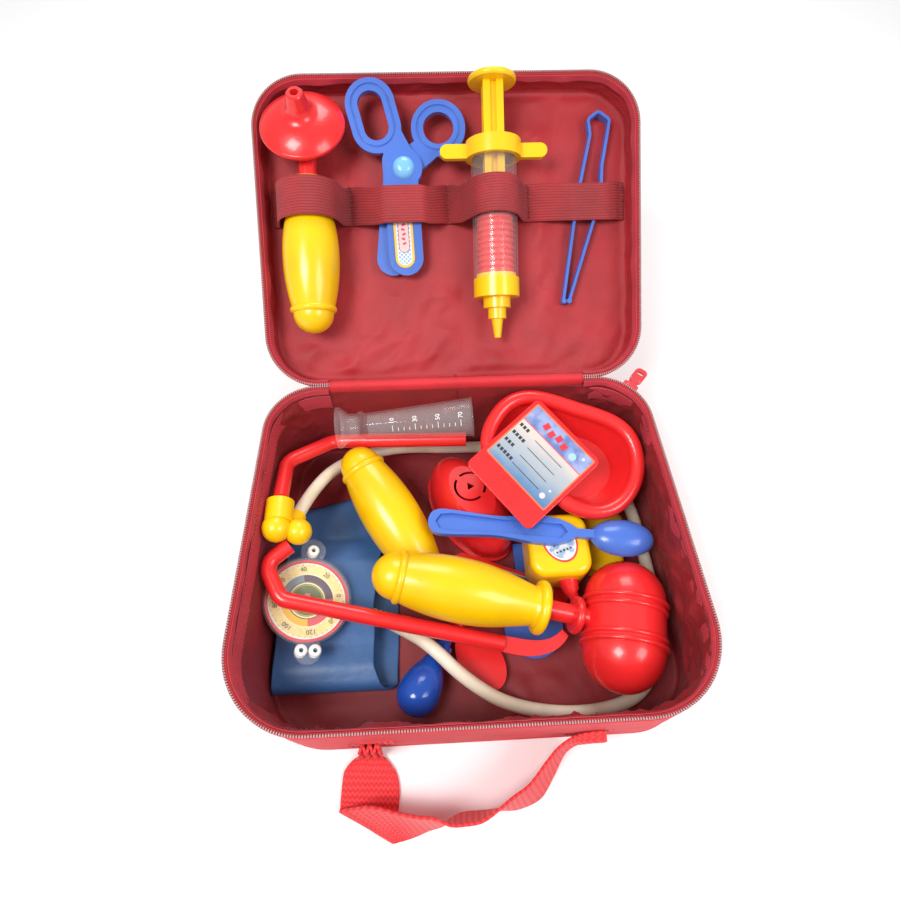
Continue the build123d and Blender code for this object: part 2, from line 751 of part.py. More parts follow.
def tube(points, r):
    """A swept tube with one tangent arc per inner point; prints the bend radii."""
    runs = [Vector(*b) - Vector(*a) for a, b in zip(points, points[1:])]
    radii = []
    for before, after in zip(runs, runs[1:]):
        turn = radians(before.get_angle(after))
        radii.append(0.45 * min(before.length, after.length) / max(0.02, tan(turn / 2)))
    last = Vector(*points[0])
    with BuildLine() as path:
        for i, point in enumerate(points[1:-1]):
            turn = radians(runs[i].get_angle(runs[i + 1]))
            back = radii[i] * tan(turn / 2)
            here = Vector(*point)
            enter = here - runs[i].normalized() * back
            leave = here + runs[i + 1].normalized() * back
            bisect = (runs[i + 1].normalized() - runs[i].normalized()).normalized()
            middle = here + bisect * (radii[i] / cos(turn / 2) - radii[i])
            Line(last, enter)
            ThreePointArc(enter, middle, leave)
            last = leave
        Line(last, Vector(*points[-1]))
    with BuildSketch(Plane(origin=points[0], z_dir=runs[0])) as ring:
        Circle(r)
    sweep(ring.sketch, path=path.wire())
    print("tube length", round(path.wire().length, 1), "radii", [round(v) for v in radii])
    return path.wire().length


with BuildPart() as sth_hose:
    hose_length = tube(hose_points, tube_radius)
print("tube volume share", sth_hose.part.volume / (pi * tube_radius ** 2 * hose_length))
sth_hose.part.label = "sth_hose"
export_step(sth_hose.part, "parts/sth_hose.step")

cuff_floor = bed_z + 0.2
cuff_skin = 1.5
cuff_top = 21.0
chest = Plane(origin=(-86.0, -21.0, cuff_floor + cuff_skin + 0.3), z_dir=(0, 0, 1))
with BuildPart() as sth_chest:
    with BuildSketch(chest):
        Circle(19.0)
    extrude(amount=6.0)
    with BuildSketch(chest.offset(6.0)):
        Circle(15.0)
    extrude(amount=4.0, taper=20)
    with BuildSketch(Plane(origin=(-84.0, -21.5, 12.0), z_dir=(0.86, -0.47, 0.08))):
        Circle(3.8)
    extrude(amount=24.2)
sth_chest.part.label = "sth_chest"
export_step(sth_chest.part, "parts/sth_chest.step")

# ---- pressure cuff, gauge and bulb ----------------------------------------------------------------
cuff_left = -132.0
cuff_right = -46.0
with BuildPart() as cuff:
    with BuildSketch(Plane(origin=(cuff_left, 0, 0), x_dir=(0, 1, 0), z_dir=(1, 0, 0))):
        with BuildLine() as around:
            FilletPolyline(
                (-79, cuff_floor), (64, cuff_floor), (66, cuff_floor + 3.2), (62, cuff_floor + 6.4),
                (26, cuff_floor + 6.6), (4, cuff_top - 1.5), (-12, cuff_top), (-68, cuff_top),
                (-80, cuff_top - 4), (-83, cuff_floor + 7),
                radius=1.4, close=True,
            )
        make_face()
        offset(amount=-cuff_skin, mode=Mode.SUBTRACT)
    extrude(amount=cuff_right - cuff_left)
    with BuildSketch(Plane.XZ.offset(100)):
        Polygon((cuff_right, cuff_floor - 2), (-65, cuff_top + 2), (0, cuff_top + 2), (0, 0), align=None)
    extrude(amount=-200, mode=Mode.SUBTRACT)
    with BuildSketch(Plane.XY):
        Polygon((-123.4, 70), (-130.4, -86), (-150, -86), (-150, 70), align=None)
    extrude(amount=40, mode=Mode.SUBTRACT)
cuff.part.label = "cuff"
export_step(cuff.part, "parts/cuff.step")

gauge_lean = 18.0
gauge_radius = 27.4
dial_radius = 25.4
gauge = at(Plane(origin=(-106.0, -27.0, 38.0), z_dir=(0, 0, 1)), ry=gauge_lean)
lug_reach = 33.0
with BuildPart() as gauge_back:
    with BuildSketch(gauge.offset(-8.0)):
        Circle(gauge_radius - 3)
    with BuildSketch(gauge.offset(-1.2)):
        Circle(gauge_radius)
    loft()
    with BuildSketch(gauge.offset(-1.2)):
        Circle(gauge_radius)
        Circle(dial_radius + 0.4, mode=Mode.SUBTRACT)
    extrude(amount=1.2)
gauge_back.part.label = "gauge_back"
export_step(gauge_back.part, "parts/gauge_back.step")

with BuildPart() as gauge_dial:
    with BuildSketch(gauge.offset(-1.0)):
        Circle(dial_radius)
    extrude(amount=0.8)
    with BuildSketch(at(gauge, 0, 0, -0.2, 0, 0, -28)):
        with Locations((dial_radius - 2.4, 0)):
            Rectangle(4.4, 7.0)
    extrude(amount=2.4)
gauge_dial.part.label = "gauge_dial"
export_step(gauge_dial.part, "parts/gauge_dial.step")

with BuildPart() as gauge_cover:
    with BuildSketch(gauge.offset(0.02)):
        Circle(gauge_radius + 1.4)
    extrude(amount=5.4)
    fillet(gauge_cover.edges().group_by(SortBy.LENGTH)[-1].sort_by(Axis.Z)[-1], 2.4)
    with BuildSketch(gauge.offset(0.0)):
        Circle(gauge_radius - 0.2)
    extrude(amount=4.2, mode=Mode.SUBTRACT)
    for side in (-1, 1):
        with BuildSketch(gauge.offset(0.02)):
            with Locations((2.0, side * lug_reach)):
                Circle(8.4)
            with Locations((1.0, side * (lug_reach - 4))):
                Rectangle(13, 9)
            Circle(gauge_radius + 0.4, mode=Mode.SUBTRACT)
            holes = ((2.0, side * lug_reach),) if side > 0 else ((-2.4, -lug_reach), (6.4, -lug_reach))
            with Locations(*holes):
                Circle(3.0 + fit, mode=Mode.SUBTRACT)
        extrude(amount=3.2)
gauge_cover.part.label = "gauge_cover"
export_step(gauge_cover.part, "parts/gauge_cover.step")

with BuildPart() as gauge_rivets:
    for x0, y0 in ((2.0, lug_reach), (-2.4, -lug_reach), (6.4, -lug_reach)):
        spin(at(gauge, x0, y0, 0, 0, -90, 0), [
            (-2.6, 1.5), (-2.6, 3.9), (0.0, 3.9), (0.0, 3.0), (3.25, 3.0), (3.25, 4.1),
            ((4.7, 3.3), (5.0, 1.5)),
        ])
gauge_rivets.part.label = "gauge_rivets"
export_step(gauge_rivets.part, "parts/gauge_rivets.step")

bulb = aim((-41.5, -99.0, 19.3), (-11.0, -44.0, 14.5))
with BuildPart() as pump_bulb:
    spin(bulb, [
        (0, 0), ((3.8, 9.8), (14, 13.9)),
        ((24, 12.6), (33, 9.0)), (40, 6.4), (41, 7.4), (49, 7.4), (50, 5.2), (56, 5.0), (56, 0),
    ])
    with BuildSketch(at(bulb, 45, 0, 0, 0, 0, 0).offset(5)):
        Circle(3.4)
    extrude(amount=3.6)
pump_bulb.part.label = "pump_bulb"
export_step(pump_bulb.part, "parts/pump_bulb.step")

# ---- kidney dish with the identity card on it ------------------------------------------------------
dish_tilt = 15.0
dish_z = 65.5
dish_from_wall = 48.35
dish_y = back_wall(dish_z) - dish_from_wall
dish_level = at(Plane(origin=(71.6, dish_y, dish_z), z_dir=(0, 0, 1)), rx=dish_tilt)
dish_plane = at(dish_level, rz=-22.0)
lip_long = dish_length / 2 - dish_roll
lip_short = dish_width / 2 - dish_roll


def kidney_line(p, q):
    """The closed kidney line, its hollow side towards the front left."""
    Spline(
        (-p, 0.10 * q), (-0.72 * p, 0.86 * q), (0, q), (0.72 * p, 0.86 * q), (p, 0.06 * q),
        (0.74 * p, -0.82 * q), (0.20 * p, -0.90 * q), (-0.18 * p, -0.66 * q), (-0.66 * p, -0.74 * q),
        periodic=True,
    )


def kidney(plane, shrink):
    """A kidney face, made smaller by shrink on every side."""
    with BuildSketch(plane) as face:
        with BuildLine():
            kidney_line(lip_long - shrink, lip_short - shrink)
        make_face()
    return face.sketch.faces()[0]


dish_skin = 2.0
dish_draft = 12.0
with BuildPart() as kidney_dish:
    loft([kidney(dish_plane, -1.0), kidney(dish_plane.offset(-dish_depth), dish_draft - 1.0)])
    loft([
        kidney(dish_plane.offset(1.0), dish_skin - 1.0),
        kidney(dish_plane.offset(-dish_depth + dish_skin + 0.2), dish_draft + dish_skin - 1.0),
    ], mode=Mode.SUBTRACT)
    with BuildLine(dish_plane) as lip:
        kidney_line(lip_long, lip_short)
    for start, end in ((0, 0.34), (0.34, 0.67), (0.67, 1.0)):
        stretch = lip.wire().edges()[0].trim(start, end)
        with BuildSketch(Plane(origin=stretch @ 0, z_dir=stretch % 0)):
            Circle(dish_roll)
        sweep(path=stretch)
kidney_dish.part.label = "kidney_dish"
export_step(kidney_dish.part, "parts/kidney_dish.step")

card_turn = -50.0
label_up = 7.0
label_sunk = 0.5
label_thick = 0.4
card_plane = at(dish_level, -22.1, -7.38, dish_roll + 0.25, rz=card_turn)
with BuildPart() as id_card:
    with BuildSketch(card_plane):
        RectangleRounded(card_width, card_height, 4.5)
    extrude(amount=card_thick)
    fillet(id_card.edges().group_by(SortBy.LENGTH)[-1], 0.6)
    with BuildSketch(card_plane.offset(card_thick)):
        for i in range(5):
            with Locations((0, -card_height / 2 + 4.5 + 2.2 * i)):
                Rectangle(22, 0.8)
    extrude(amount=-0.4, mode=Mode.SUBTRACT)
    with BuildSketch(card_plane.offset(card_thick)):
        with Locations((0, label_up)):
            RectangleRounded(card_width - 5, card_height - 19, 1.5)
    extrude(amount=-label_sunk, mode=Mode.SUBTRACT)
id_card.part.label = "id_card"
export_step(id_card.part, "parts/id_card.step")

with BuildPart() as card_label:
    with BuildSketch(card_plane.offset(card_thick - label_sunk)):
        with Locations((0, label_up)):
            RectangleRounded(card_width - 5.4, card_height - 19.4, 1.4)
    extrude(amount=label_thick)
card_label.part.label = "card_label"
export_step(card_label.part, "parts/card_label.step")

# ---- spoon ----------------------------------------------------------------------------------------
spoon_plane = aim((-24.0, 20.0, 51.3), (128.0, -1.0, 52.7))
spoon_run = 101.0
bowl_skin = 1.8
bowl_rings = ((0, 21.5, 13.0), (3.0, 20.6, 12.2), (6.0, 17.4, 9.8), (8.2, 12.0, 6.2), (9.2, 5.0, 2.4))
with BuildPart() as spoon:
    with BuildSketch(spoon_plane.offset(-2.4)):
        with BuildLine():
            Spline((0, 0), (3.5, 7.4), (14, 9.0), (50, 7.2), (spoon_run - 8, 7.4), (spoon_run, 2.8))
            Line((spoon_run, 2.8), (spoon_run + 14, 3.0))
            Line((spoon_run + 14, 3.0), (spoon_run + 14, -3.0))
            Line((spoon_run + 14, -3.0), (spoon_run, -2.8))
            Spline((spoon_run, -2.8), (spoon_run - 8, -7.4), (50, -7.2), (14, -9.0), (3.5, -7.4), (0, 0))
        make_face()
    extrude(amount=5.0)
    with BuildSketch(spoon_plane.offset(2.6)):
        with BuildLine():
            Polyline(
                (5, 0), (8, 5.2), (16, 6.4), (50, 4.8), (spoon_run - 10, 5.0), (spoon_run - 6, 0),
                (spoon_run - 10, -5.0), (50, -4.8), (16, -6.4), (8, -5.2), close=True,
            )
        make_face()
    extrude(amount=-2.6, mode=Mode.SUBTRACT)
    bowl_plane = at(spoon_plane, spoon_run + 31, 0, -1.6)
    for up, long, short in bowl_rings:
        with BuildSketch(bowl_plane.offset(up)):
            Ellipse(long, short)
    loft()
    for up, long, short in bowl_rings:
        with BuildSketch(bowl_plane.offset(up - bowl_skin)):
            Ellipse(long - bowl_skin, short - bowl_skin)
    loft(mode=Mode.SUBTRACT)
spoon.part.label = "spoon"
export_step(spoon.part, "parts/spoon.step")

# ---- face mask --------------------------------------------------------------------------------------
mask_plane = Plane(origin=(8.0, 44.0, bed_z + 0.3), x_dir=(-0.508, 0.861, 0), z_dir=(0, 0, 1))
mask_long = 44.0
mask_short = 25.5
mask_skin = 2.2
mask_rings = ((3.0, 2.0, 2.0), (28.0, 6.0, 5.0), (41.0, 22.0, 12.0))
with BuildPart() as mask:
    with BuildSketch(mask_plane):
        Ellipse(mask_long, mask_short)
    extrude(amount=3.0)
    for up, off_long, off_short in mask_rings:
        with BuildSketch(mask_plane.offset(up)):
            Ellipse(mask_long - off_long, mask_short - off_short)
    loft()
    for up, off_long, off_short in ((2.0 - 0.01, 2.0, 2.0),) + mask_rings[1:]:
        with BuildSketch(mask_plane.offset(up - 2.0)):
            Ellipse(mask_long - off_long - mask_skin, mask_short - off_short - mask_skin)
    loft(mode=Mode.SUBTRACT)
    with BuildSketch(mask_plane.offset(45)):
        with Locations((4.0, -1.0)):
            RegularPolygon(3.4, 3)
            for r in (7.4, 11.6):
                Circle(r)
                Circle(r - 1.7, mode=Mode.SUBTRACT)
            Rectangle(30, 3.6, rotation=20, mode=Mode.SUBTRACT)
            RegularPolygon(3.4, 3)
    extrude(amount=-20, mode=Mode.SUBTRACT)
mask.part.label = "mask"
export_step(mask.part, "parts/mask.step")

# ---- ear thermometer, bottle, stick thermometer and blue paddle ---------------------------------------
ear_top = 49.4
ear_base = 15.0
ear_plane = Plane(origin=(64.5, 1.0, ear_base), z_dir=(0, 0, 1))
with BuildPart() as ear_body:
    with BuildSketch(ear_plane):
        RectangleRounded(42, 44, 11)
    extrude(amount=ear_top - ear_base)
    fillet(ear_body.edges().group_by(Axis.Z)[-1], 5.0)
    fillet(ear_body.edges().group_by(Axis.Z)[0], 4.0)
    with BuildSketch(ear_plane.offset(ear_top - ear_base)):
        with Locations((0, 2)):
            Ellipse(12, 16, rotation=18)
    extrude(amount=-0.6, mode=Mode.SUBTRACT)
ear_body.part.label = "ear_body"
export_step(ear_body.part, "parts/ear_body.step")

with BuildPart() as ear_label:
    with BuildSketch(ear_plane.offset(ear_top - ear_base - 0.6)):
        with Locations((0, 2)):
            Ellipse(11.8, 15.8, rotation=18)
    extrude(amount=0.4)
ear_label.part.label = "ear_label"
export_step(ear_label.part, "parts/ear_label.step")

nozzle = aim((70.0, -21.04, 33.0), (74.6, -34.0, 27.4))
with BuildPart() as ear_nozzle:
    with BuildSketch(Plane(origin=(70.0, -21.04, 33.0), x_dir=(1, 0, 0), z_dir=(0, -1, 0))):
        Circle(7.0)
    with BuildSketch(at(nozzle, 7, 0, 0, 0, 90, 0)):
        Circle(5.4)
    loft()
    with BuildSketch(at(nozzle, 7, 0, 0, 0, 90, 0)):
        Circle(4.2)
    with BuildSketch(at(nozzle, 14.5, 0, 0, 0, 90, 0)):
        Circle(3.0)
    loft()
ear_nozzle.part.label = "ear_nozzle"
export_step(ear_nozzle.part, "parts/ear_nozzle.step")

bottle_plane = Plane(origin=(104.5, 12.0, bed_z + 0.3), x_dir=(0.15, 0.99, 0), z_dir=(0, 0, 1))
with BuildPart() as bottle:
    with BuildSketch(bottle_plane):
        RectangleRounded(46, 27, 6)
    extrude(amount=17.0)
    fillet(bottle.edges().group_by(Axis.Z)[-1], 3.5)
    with BuildSketch(at(bottle_plane, 22.9, 0, 8.5, 0, 90, 0)):
        Circle(7.0)
    extrude(amount=9.0)
bottle.part.label = "bottle"
export_step(bottle.part, "parts/bottle.step")

stick_plane = at(aim((-2.5, 2.2, 11.7), (67.5, -25.8, 11.7)), 38.0)
with BuildPart() as stick:
    with BuildSketch(stick_plane.offset(-3)):
        SlotOverall(86, 15)
    extrude(amount=6)
    with BuildSketch(stick_plane.offset(3)):
        SlotOverall(66, 10)
    extrude(amount=-0.5, mode=Mode.SUBTRACT)
stick.part.label = "stick"
export_step(stick.part, "parts/stick.step")

with BuildPart() as paddle:
    with BuildSketch(Plane.XY.offset(bed_z + 0.3)):
        with Locations((47.0, -46.0)):
            Circle(20.5)
        Polygon((39, -40), (38, 16), (54, 16), (55, -40), align=None)
    extrude(amount=4.2)
paddle.part.label = "paddle"
export_step(paddle.part, "parts/paddle.step")

# ---- clear measuring beaker lying at the back --------------------------------------------------------
beaker_axis = aim((-86.0, 88.6, 64.6), (10.5, 91.6, 68.8))
with BuildPart() as beaker:
    spin(beaker_axis, [
        (0, 12.4), (0, 14.6), (2.4, 14.6), (8, 9.6), (15, 9.0), (15.6, 10.4), (18.6, 10.4),
        (19.4, 8.8), (95.0, 13.6), (96.4, 14.4), (96.4, 12.6), (95.0, 12.2), (22, 7.4), (22, 0),
        (14, 0), (14, 7.2), (8, 7.8), (2.4, 12.2),
    ])
beaker.part.label = "beaker"
export_step(beaker.part, "parts/beaker.step")
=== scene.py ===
# %% [markdown]
# # A toy doctor case, from frame to picture
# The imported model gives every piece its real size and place, in metres. It is loaded first and stays as it is.
# The hard toys are shown as they come, under moulded-plastic finishes made here. The cloth, webbing, elastic,
# zip, hose and cuff are remade in this script, because a real one is soft and the frame only holds its room.

# %% Load the frame
from math import atan2, cos, exp, hypot, pi, radians, sin, sqrt

import bpy
from mathutils import Matrix, Vector, noise


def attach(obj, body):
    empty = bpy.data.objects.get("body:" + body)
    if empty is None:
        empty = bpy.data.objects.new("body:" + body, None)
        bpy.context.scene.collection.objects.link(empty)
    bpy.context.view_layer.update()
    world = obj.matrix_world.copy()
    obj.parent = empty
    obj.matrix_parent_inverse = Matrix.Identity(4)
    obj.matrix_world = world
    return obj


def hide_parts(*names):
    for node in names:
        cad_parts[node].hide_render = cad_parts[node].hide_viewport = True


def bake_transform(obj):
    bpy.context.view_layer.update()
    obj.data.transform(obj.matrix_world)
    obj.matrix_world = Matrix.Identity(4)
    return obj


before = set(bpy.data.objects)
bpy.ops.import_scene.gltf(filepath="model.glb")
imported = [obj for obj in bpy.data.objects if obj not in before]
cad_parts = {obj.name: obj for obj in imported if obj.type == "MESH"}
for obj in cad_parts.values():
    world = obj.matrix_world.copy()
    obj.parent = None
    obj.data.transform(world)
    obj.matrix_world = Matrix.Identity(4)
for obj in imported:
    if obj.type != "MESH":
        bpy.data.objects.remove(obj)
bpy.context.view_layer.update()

bpy.ops.object.select_all(action="DESELECT")
print("frame:", len(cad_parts), "pieces")

# %% [markdown]
# ## The camera
# It looks down into the open case from in front. Its place and the three directions of its picture were worked
# out from the outline of the case, so they are plain numbers here.

# %% Camera
MM = 0.001
CAMERA_PLACE = Vector((-23.2, -137.7, 447.8)) * MM
CAMERA_RIGHT = Vector((0.9986, -0.0506, 0.0155))
CAMERA_UP = Vector((0.0372, 0.8803, 0.4729))
FOCAL_PIXELS = 619.0
PICTURE = 900

lens = bpy.data.cameras.new("camera")
lens.sensor_width = 36.0
lens.lens = FOCAL_PIXELS / PICTURE * lens.sensor_width
lens.clip_start = 0.01
camera = bpy.data.objects.new("camera", lens)
bpy.context.scene.collection.objects.link(camera)
back = CAMERA_RIGHT.cross(CAMERA_UP).normalized()
up = back.cross(CAMERA_RIGHT).normalized()
turn = Matrix((CAMERA_RIGHT.normalized(), up, back)).transposed()
camera.matrix_world = Matrix.Translation(CAMERA_PLACE) @ turn.to_4x4()
bpy.context.scene.camera = camera
print("camera lens", round(lens.lens, 2), "mm")

# %% [markdown]
# ## The room
# A pale floor keeps the shadow under the case. The world is white to the camera, and a
# softer grey where it lights the toys and is reflected, so the colours stay as they are written.

# %% World and floor
WHITE = (1.0, 1.0, 1.0, 1.0)


def world_light(strength):
    """White to the eye and through clear pieces, softer where it lights or is reflected."""
    world = bpy.data.worlds.new("studio")
    bpy.context.scene.world = world
    world.use_nodes = True
    tree = world.node_tree
    tree.nodes.clear()
    seen = tree.nodes.new("ShaderNodeBackground")
    seen.inputs["Color"].default_value = WHITE
    seen.inputs["Strength"].default_value = 1.0
    light = tree.nodes.new("ShaderNodeBackground")
    light.inputs["Color"].default_value = WHITE
    light.inputs["Strength"].default_value = strength
    rays = tree.nodes.new("ShaderNodeLightPath")
    mix = tree.nodes.new("ShaderNodeMixShader")
    out = tree.nodes.new("ShaderNodeOutputWorld")
    either = tree.nodes.new("ShaderNodeMath")
    either.operation = "MAXIMUM"
    tree.links.new(rays.outputs["Is Camera Ray"], either.inputs[0])
    tree.links.new(rays.outputs["Is Transmission Ray"], either.inputs[1])
    tree.links.new(either.outputs[0], mix.inputs["Fac"])
    tree.links.new(light.outputs[0], mix.inputs[1])
    tree.links.new(seen.outputs[0], mix.inputs[2])
    tree.links.new(mix.outputs[0], out.inputs["Surface"])


world_light(0.45)


def floor():
    """A wide pale floor that is white to the camera except in the shadow."""
    bpy.ops.mesh.primitive_plane_add(size=8.0, location=(0, 0, -0.0002))
    made = bpy.context.object
    made.name = "floor"
    bpy.ops.object.transform_apply(location=True)
    paint = bpy.data.materials.new("floor")
    paint.use_nodes = True
    base = paint.node_tree.nodes["Principled BSDF"]
    base.inputs["Base Color"].default_value = (0.93, 0.93, 0.93, 1)
    base.inputs["Roughness"].default_value = 0.7
    made.data.materials.append(paint)
    return made


floor()

# %% Lamps
LAMPS = (
    ("key", (-0.55, -0.35, 1.15), 0.45, 12.0),
    ("fill", (0.75, -0.45, 0.95), 0.55, 6.5),
    ("back", (0.1, 0.95, 1.05), 0.6, 6.5),
)
for name, place, size, power in LAMPS:
    light = bpy.data.lights.new(name, "AREA")
    light.energy = power
    light.size = size
    lamp = bpy.data.objects.new(name, light)
    bpy.context.scene.collection.objects.link(lamp)
    aim = Vector((0, 0.06, 0.05)) - Vector(place)
    lamp.rotation_euler = aim.to_track_quat("-Z", "Y").to_euler()
    lamp.location = place
bpy.context.scene.view_settings.view_transform = "Standard"

# %% [markdown]
# ## Writing finishes as sums
# A finish is a small net of nodes. Wrapping a socket in a class with + - * / lets a pattern be written the way it
# is thought of, such as 0.5 + 0.1 * grain, and each sum adds its own Math node.

# %% Shader values


class Value:
    """A shader socket that can be used in a sum."""

    def __init__(self, finish, socket):
        self.finish = finish
        self.socket = socket

    def math(self, operation, *others):
        return self.finish.node("ShaderNodeMath", {"operation": operation}, (self,) + others)

    def __add__(self, other):
        return self.math("ADD", other)

    def __sub__(self, other):
        return self.math("SUBTRACT", other)

    def __mul__(self, other):
        return self.math("MULTIPLY", other)

    def __truediv__(self, other):
        return self.math("DIVIDE", other)

    def __rsub__(self, other):
        return self.finish.node("ShaderNodeMath", {"operation": "SUBTRACT"}, (other, self))

    __radd__ = __add__
    __rmul__ = __mul__


class Finish:
    """One material, with a Principled shader that patterns are fed into."""

    def __init__(self, name, color, roughness=0.4, **constants):
        self.material = bpy.data.materials.new(name)
        self.material.use_nodes = True
        self.tree = self.material.node_tree
        self.shader = self.tree.nodes["Principled BSDF"]
        self.color = color
        self.shader.inputs["Base Color"].default_value = (*color, 1)
        self.shader.inputs["Roughness"].default_value = roughness
        for socket, number in constants.items():
            self.shader.inputs[socket.replace("_", " ").title().replace("Ior", "IOR")].default_value = number

    def node(self, kind, settings=None, inputs=(), output=0):
        """Adds a node, sets it up, fills its sockets and returns one of its outputs."""
        made = self.tree.nodes.new(kind)
        for key, setting in (settings or {}).items():
            setattr(made, key, setting)
        pairs = inputs.items() if isinstance(inputs, dict) else enumerate(inputs)
        for key, given in pairs:
            if isinstance(given, Value):
                self.tree.links.new(given.socket, made.inputs[key])
            else:
                made.inputs[key].default_value = given
        return Value(self, made.outputs[output])

    def place(self):
        """Where a point is, in the object's own metres."""
        return self.node("ShaderNodeTexCoord", output="Object")

    def cloth(self):
        """Where a point is along and across the cloth, in metres."""
        return self.node("ShaderNodeUVMap", {"uv_map": "cloth"})

    def local(self, origin, across, up):
        """Millimetres across and up from a place on the piece, along two directions."""
        spot = self.node("ShaderNodeVectorMath", {"operation": "SUBTRACT"}, (self.place(), tuple(origin)))
        made = []
        for way in (across, up):
            way = tuple(Vector(way).normalized() * 1000)
            made.append(self.node(
                "ShaderNodeVectorMath", {"operation": "DOT_PRODUCT"}, (spot, way), output="Value"
            ))
        return made

    def band(self, value, low, high, soft=0.15):
        """1 between low and high, 0 outside."""
        return self.smooth(value, low - soft, low + soft) * (1 - self.smooth(value, high - soft, high + soft))

    def split(self, vector):
        parts = self.node("ShaderNodeSeparateXYZ", None, (vector,))
        made = parts.socket.node
        return [Value(self, made.outputs[i]) for i in range(3)]

    def noise(self, vector, scale, detail=2.0, rough=0.5):
        return self.node(
            "ShaderNodeTexNoise", None,
            {"Vector": vector, "Scale": scale, "Detail": detail, "Roughness": rough},
        )

    def smooth(self, value, low, high):
        """0 below low, 1 above high, eased between."""
        return self.node(
            "ShaderNodeMapRange", {"interpolation_type": "SMOOTHSTEP"},
            {"Value": value, "From Min": low, "From Max": high},
        )

    def blend(self, factor, one, two):
        """A colour between two colours."""
        def rgba(given):
            return given if isinstance(given, Value) else (*given, 1)
        made = self.tree.nodes.new("ShaderNodeMix")
        made.data_type = "RGBA"
        for place, given in ((0, factor), (6, rgba(one)), (7, rgba(two))):
            if isinstance(given, Value):
                self.tree.links.new(given.socket, made.inputs[place])
            else:
                made.inputs[place].default_value = given
        return Value(self, made.outputs[2])

    def paint(self, socket, value):
        self.tree.links.new(value.socket, self.shader.inputs[socket])
        return self

    def bump(self, height, depth, strength=1.0):
        """Raises the surface by height times depth in metres."""
        made = self.node(
            "ShaderNodeBump", None, {"Height": height, "Distance": depth, "Strength": strength}
        )
        return self.paint("Normal", made)


def shade(color, factor):
    """A colour made lighter or darker."""
    return tuple(min(1.0, c * factor) for c in color)


# %% [markdown]
# ## Moulded plastic
# The toys are blow-moulded or injection-moulded in a few bright colours. The colour is the same all through, so
# the finish shows in the gloss: faint flow marks, a little orange peel and handling scratches.

# %% Glossy plastics
RED = (0.86, 0.022, 0.024)
YELLOW = (0.98, 0.58, 0.001)
BLUE = (0.066, 0.165, 0.60)
LIGHT_BLUE = (0.20, 0.50, 0.86)
BULB_BLUE = (0.012, 0.075, 0.42)
IVORY = (0.86, 0.85, 0.80)


def moulded(name, color, gloss=0.24):
    """Bright moulded plastic with flow marks, fine peel and light scratches."""
    made = Finish(name, color, gloss, Coat_Weight=0.35, Coat_Roughness=0.12, IOR=1.46)
    spot = made.place()
    cloud = made.noise(spot, 22.0, 3.0)
    made.paint("Base Color", made.blend(made.smooth(cloud, 0.35, 0.7), color, shade(color, 0.86)))
    x, y, z = made.split(spot)
    stretched = made.node("ShaderNodeCombineXYZ", None, (x * 9.0, y * 60.0, z * 60.0))
    scratch = made.smooth(made.noise(stretched, 14.0, 4.0), 0.56, 0.72)
    made.paint("Roughness", gloss + 0.10 * cloud + 0.12 * scratch)
    peel = made.noise(spot, 420.0, 1.0)
    made.bump(peel + 0.6 * made.noise(spot, 90.0, 1.0), 0.00012, 0.5)
    return made.material


red_plastic = moulded("red_plastic", RED)
yellow_plastic = moulded("yellow_plastic", YELLOW, 0.28)
blue_plastic = moulded("blue_plastic", BLUE, 0.26)
light_blue_plastic = moulded("light_blue_plastic", LIGHT_BLUE, 0.2)
bulb_plastic = moulded("bulb_plastic", BULB_BLUE, 0.14)
white_plastic = moulded("white_plastic", IVORY, 0.25)
print("plastics:", red_plastic.name, yellow_plastic.name, blue_plastic.name)

# %% Clear plastic


def clear_plastic():
    """Clear styrene: mostly see-through, with fine scratches and a painted reflection that makes the edges pale."""
    made = Finish("clear_plastic", (0.93, 0.95, 0.96), 0.06, IOR=1.45, Transmission_Weight=0.0)
    made.shader.inputs["Specular IOR Level"].default_value = 0.9
    made.shader.inputs["Coat Weight"].default_value = 1.0
    made.shader.inputs["Coat Roughness"].default_value = 0.04
    edge = made.node("ShaderNodeLayerWeight", None, {"Blend": 0.34}, "Facing")
    spot = made.place()
    scratch = made.smooth(made.noise(spot, 260.0, 4.0), 0.60, 0.74)
    # Painted reflection: the pale colour turns more opaque where the surface is seen at a slant, standing in for bright
    # edges.
    made.paint("Alpha", made.smooth(edge, 0.45, 0.98) * 0.6 + 0.06 + 0.05 * scratch)
    made.paint("Roughness", 0.05 + 0.16 * scratch)
    made.bump(made.noise(spot, 120.0, 1.0), 0.0001, 0.4)
    return made.material


clear = clear_plastic()

# %% [markdown]
# ## Which toy gets which plastic
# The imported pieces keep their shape, so each one only gets its finish here.

# %% Finishes on the hard pieces
HARD = {
    "red": (red_plastic, (
        "scope_head", "syringe_column", "hammer_head", "mirror_head", "sth_arm_upper", "sth_arm_lower",
        "gauge_back", "kidney_dish", "id_card", "mask", "ear_nozzle", "stick",
    )),
    "yellow": (yellow_plastic, (
        "scope_handle", "syringe_nozzle", "syringe_collar", "syringe_plunger", "hammer_handle",
        "mirror_handle", "sth_yoke", "sth_chest", "ear_body", "bottle",
    )),
    "blue": (blue_plastic, ("scissor_front", "scissor_back", "tweezers", "spoon", "paddle")),
    "light blue": (light_blue_plastic, ("scissor_pin",)),
    "bulb": (bulb_plastic, ("pump_bulb",)),
    "white": (white_plastic, ("gauge_rivets",)),
    "clear": (clear, ("syringe_barrel", "gauge_cover", "beaker")),
}


def dress(node, material):
    """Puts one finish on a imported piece."""
    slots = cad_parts[node].data.materials
    slots.clear()
    slots.append(material)


for material, nodes in HARD.values():
    for node in nodes:
        dress(node, material)
print("dressed", sum(len(nodes) for material, nodes in HARD.values()), "hard pieces")

# %% [markdown]
# ## The hose
# The play stethoscope's hose is one soft cream tube. A smooth spline through a few control points gives it the
# lazy curve that a rubber hose takes when it is pushed into a case: down from the yoke, round the back and the
# right side, and over the front to the chest piece, which lies inside the cuff.

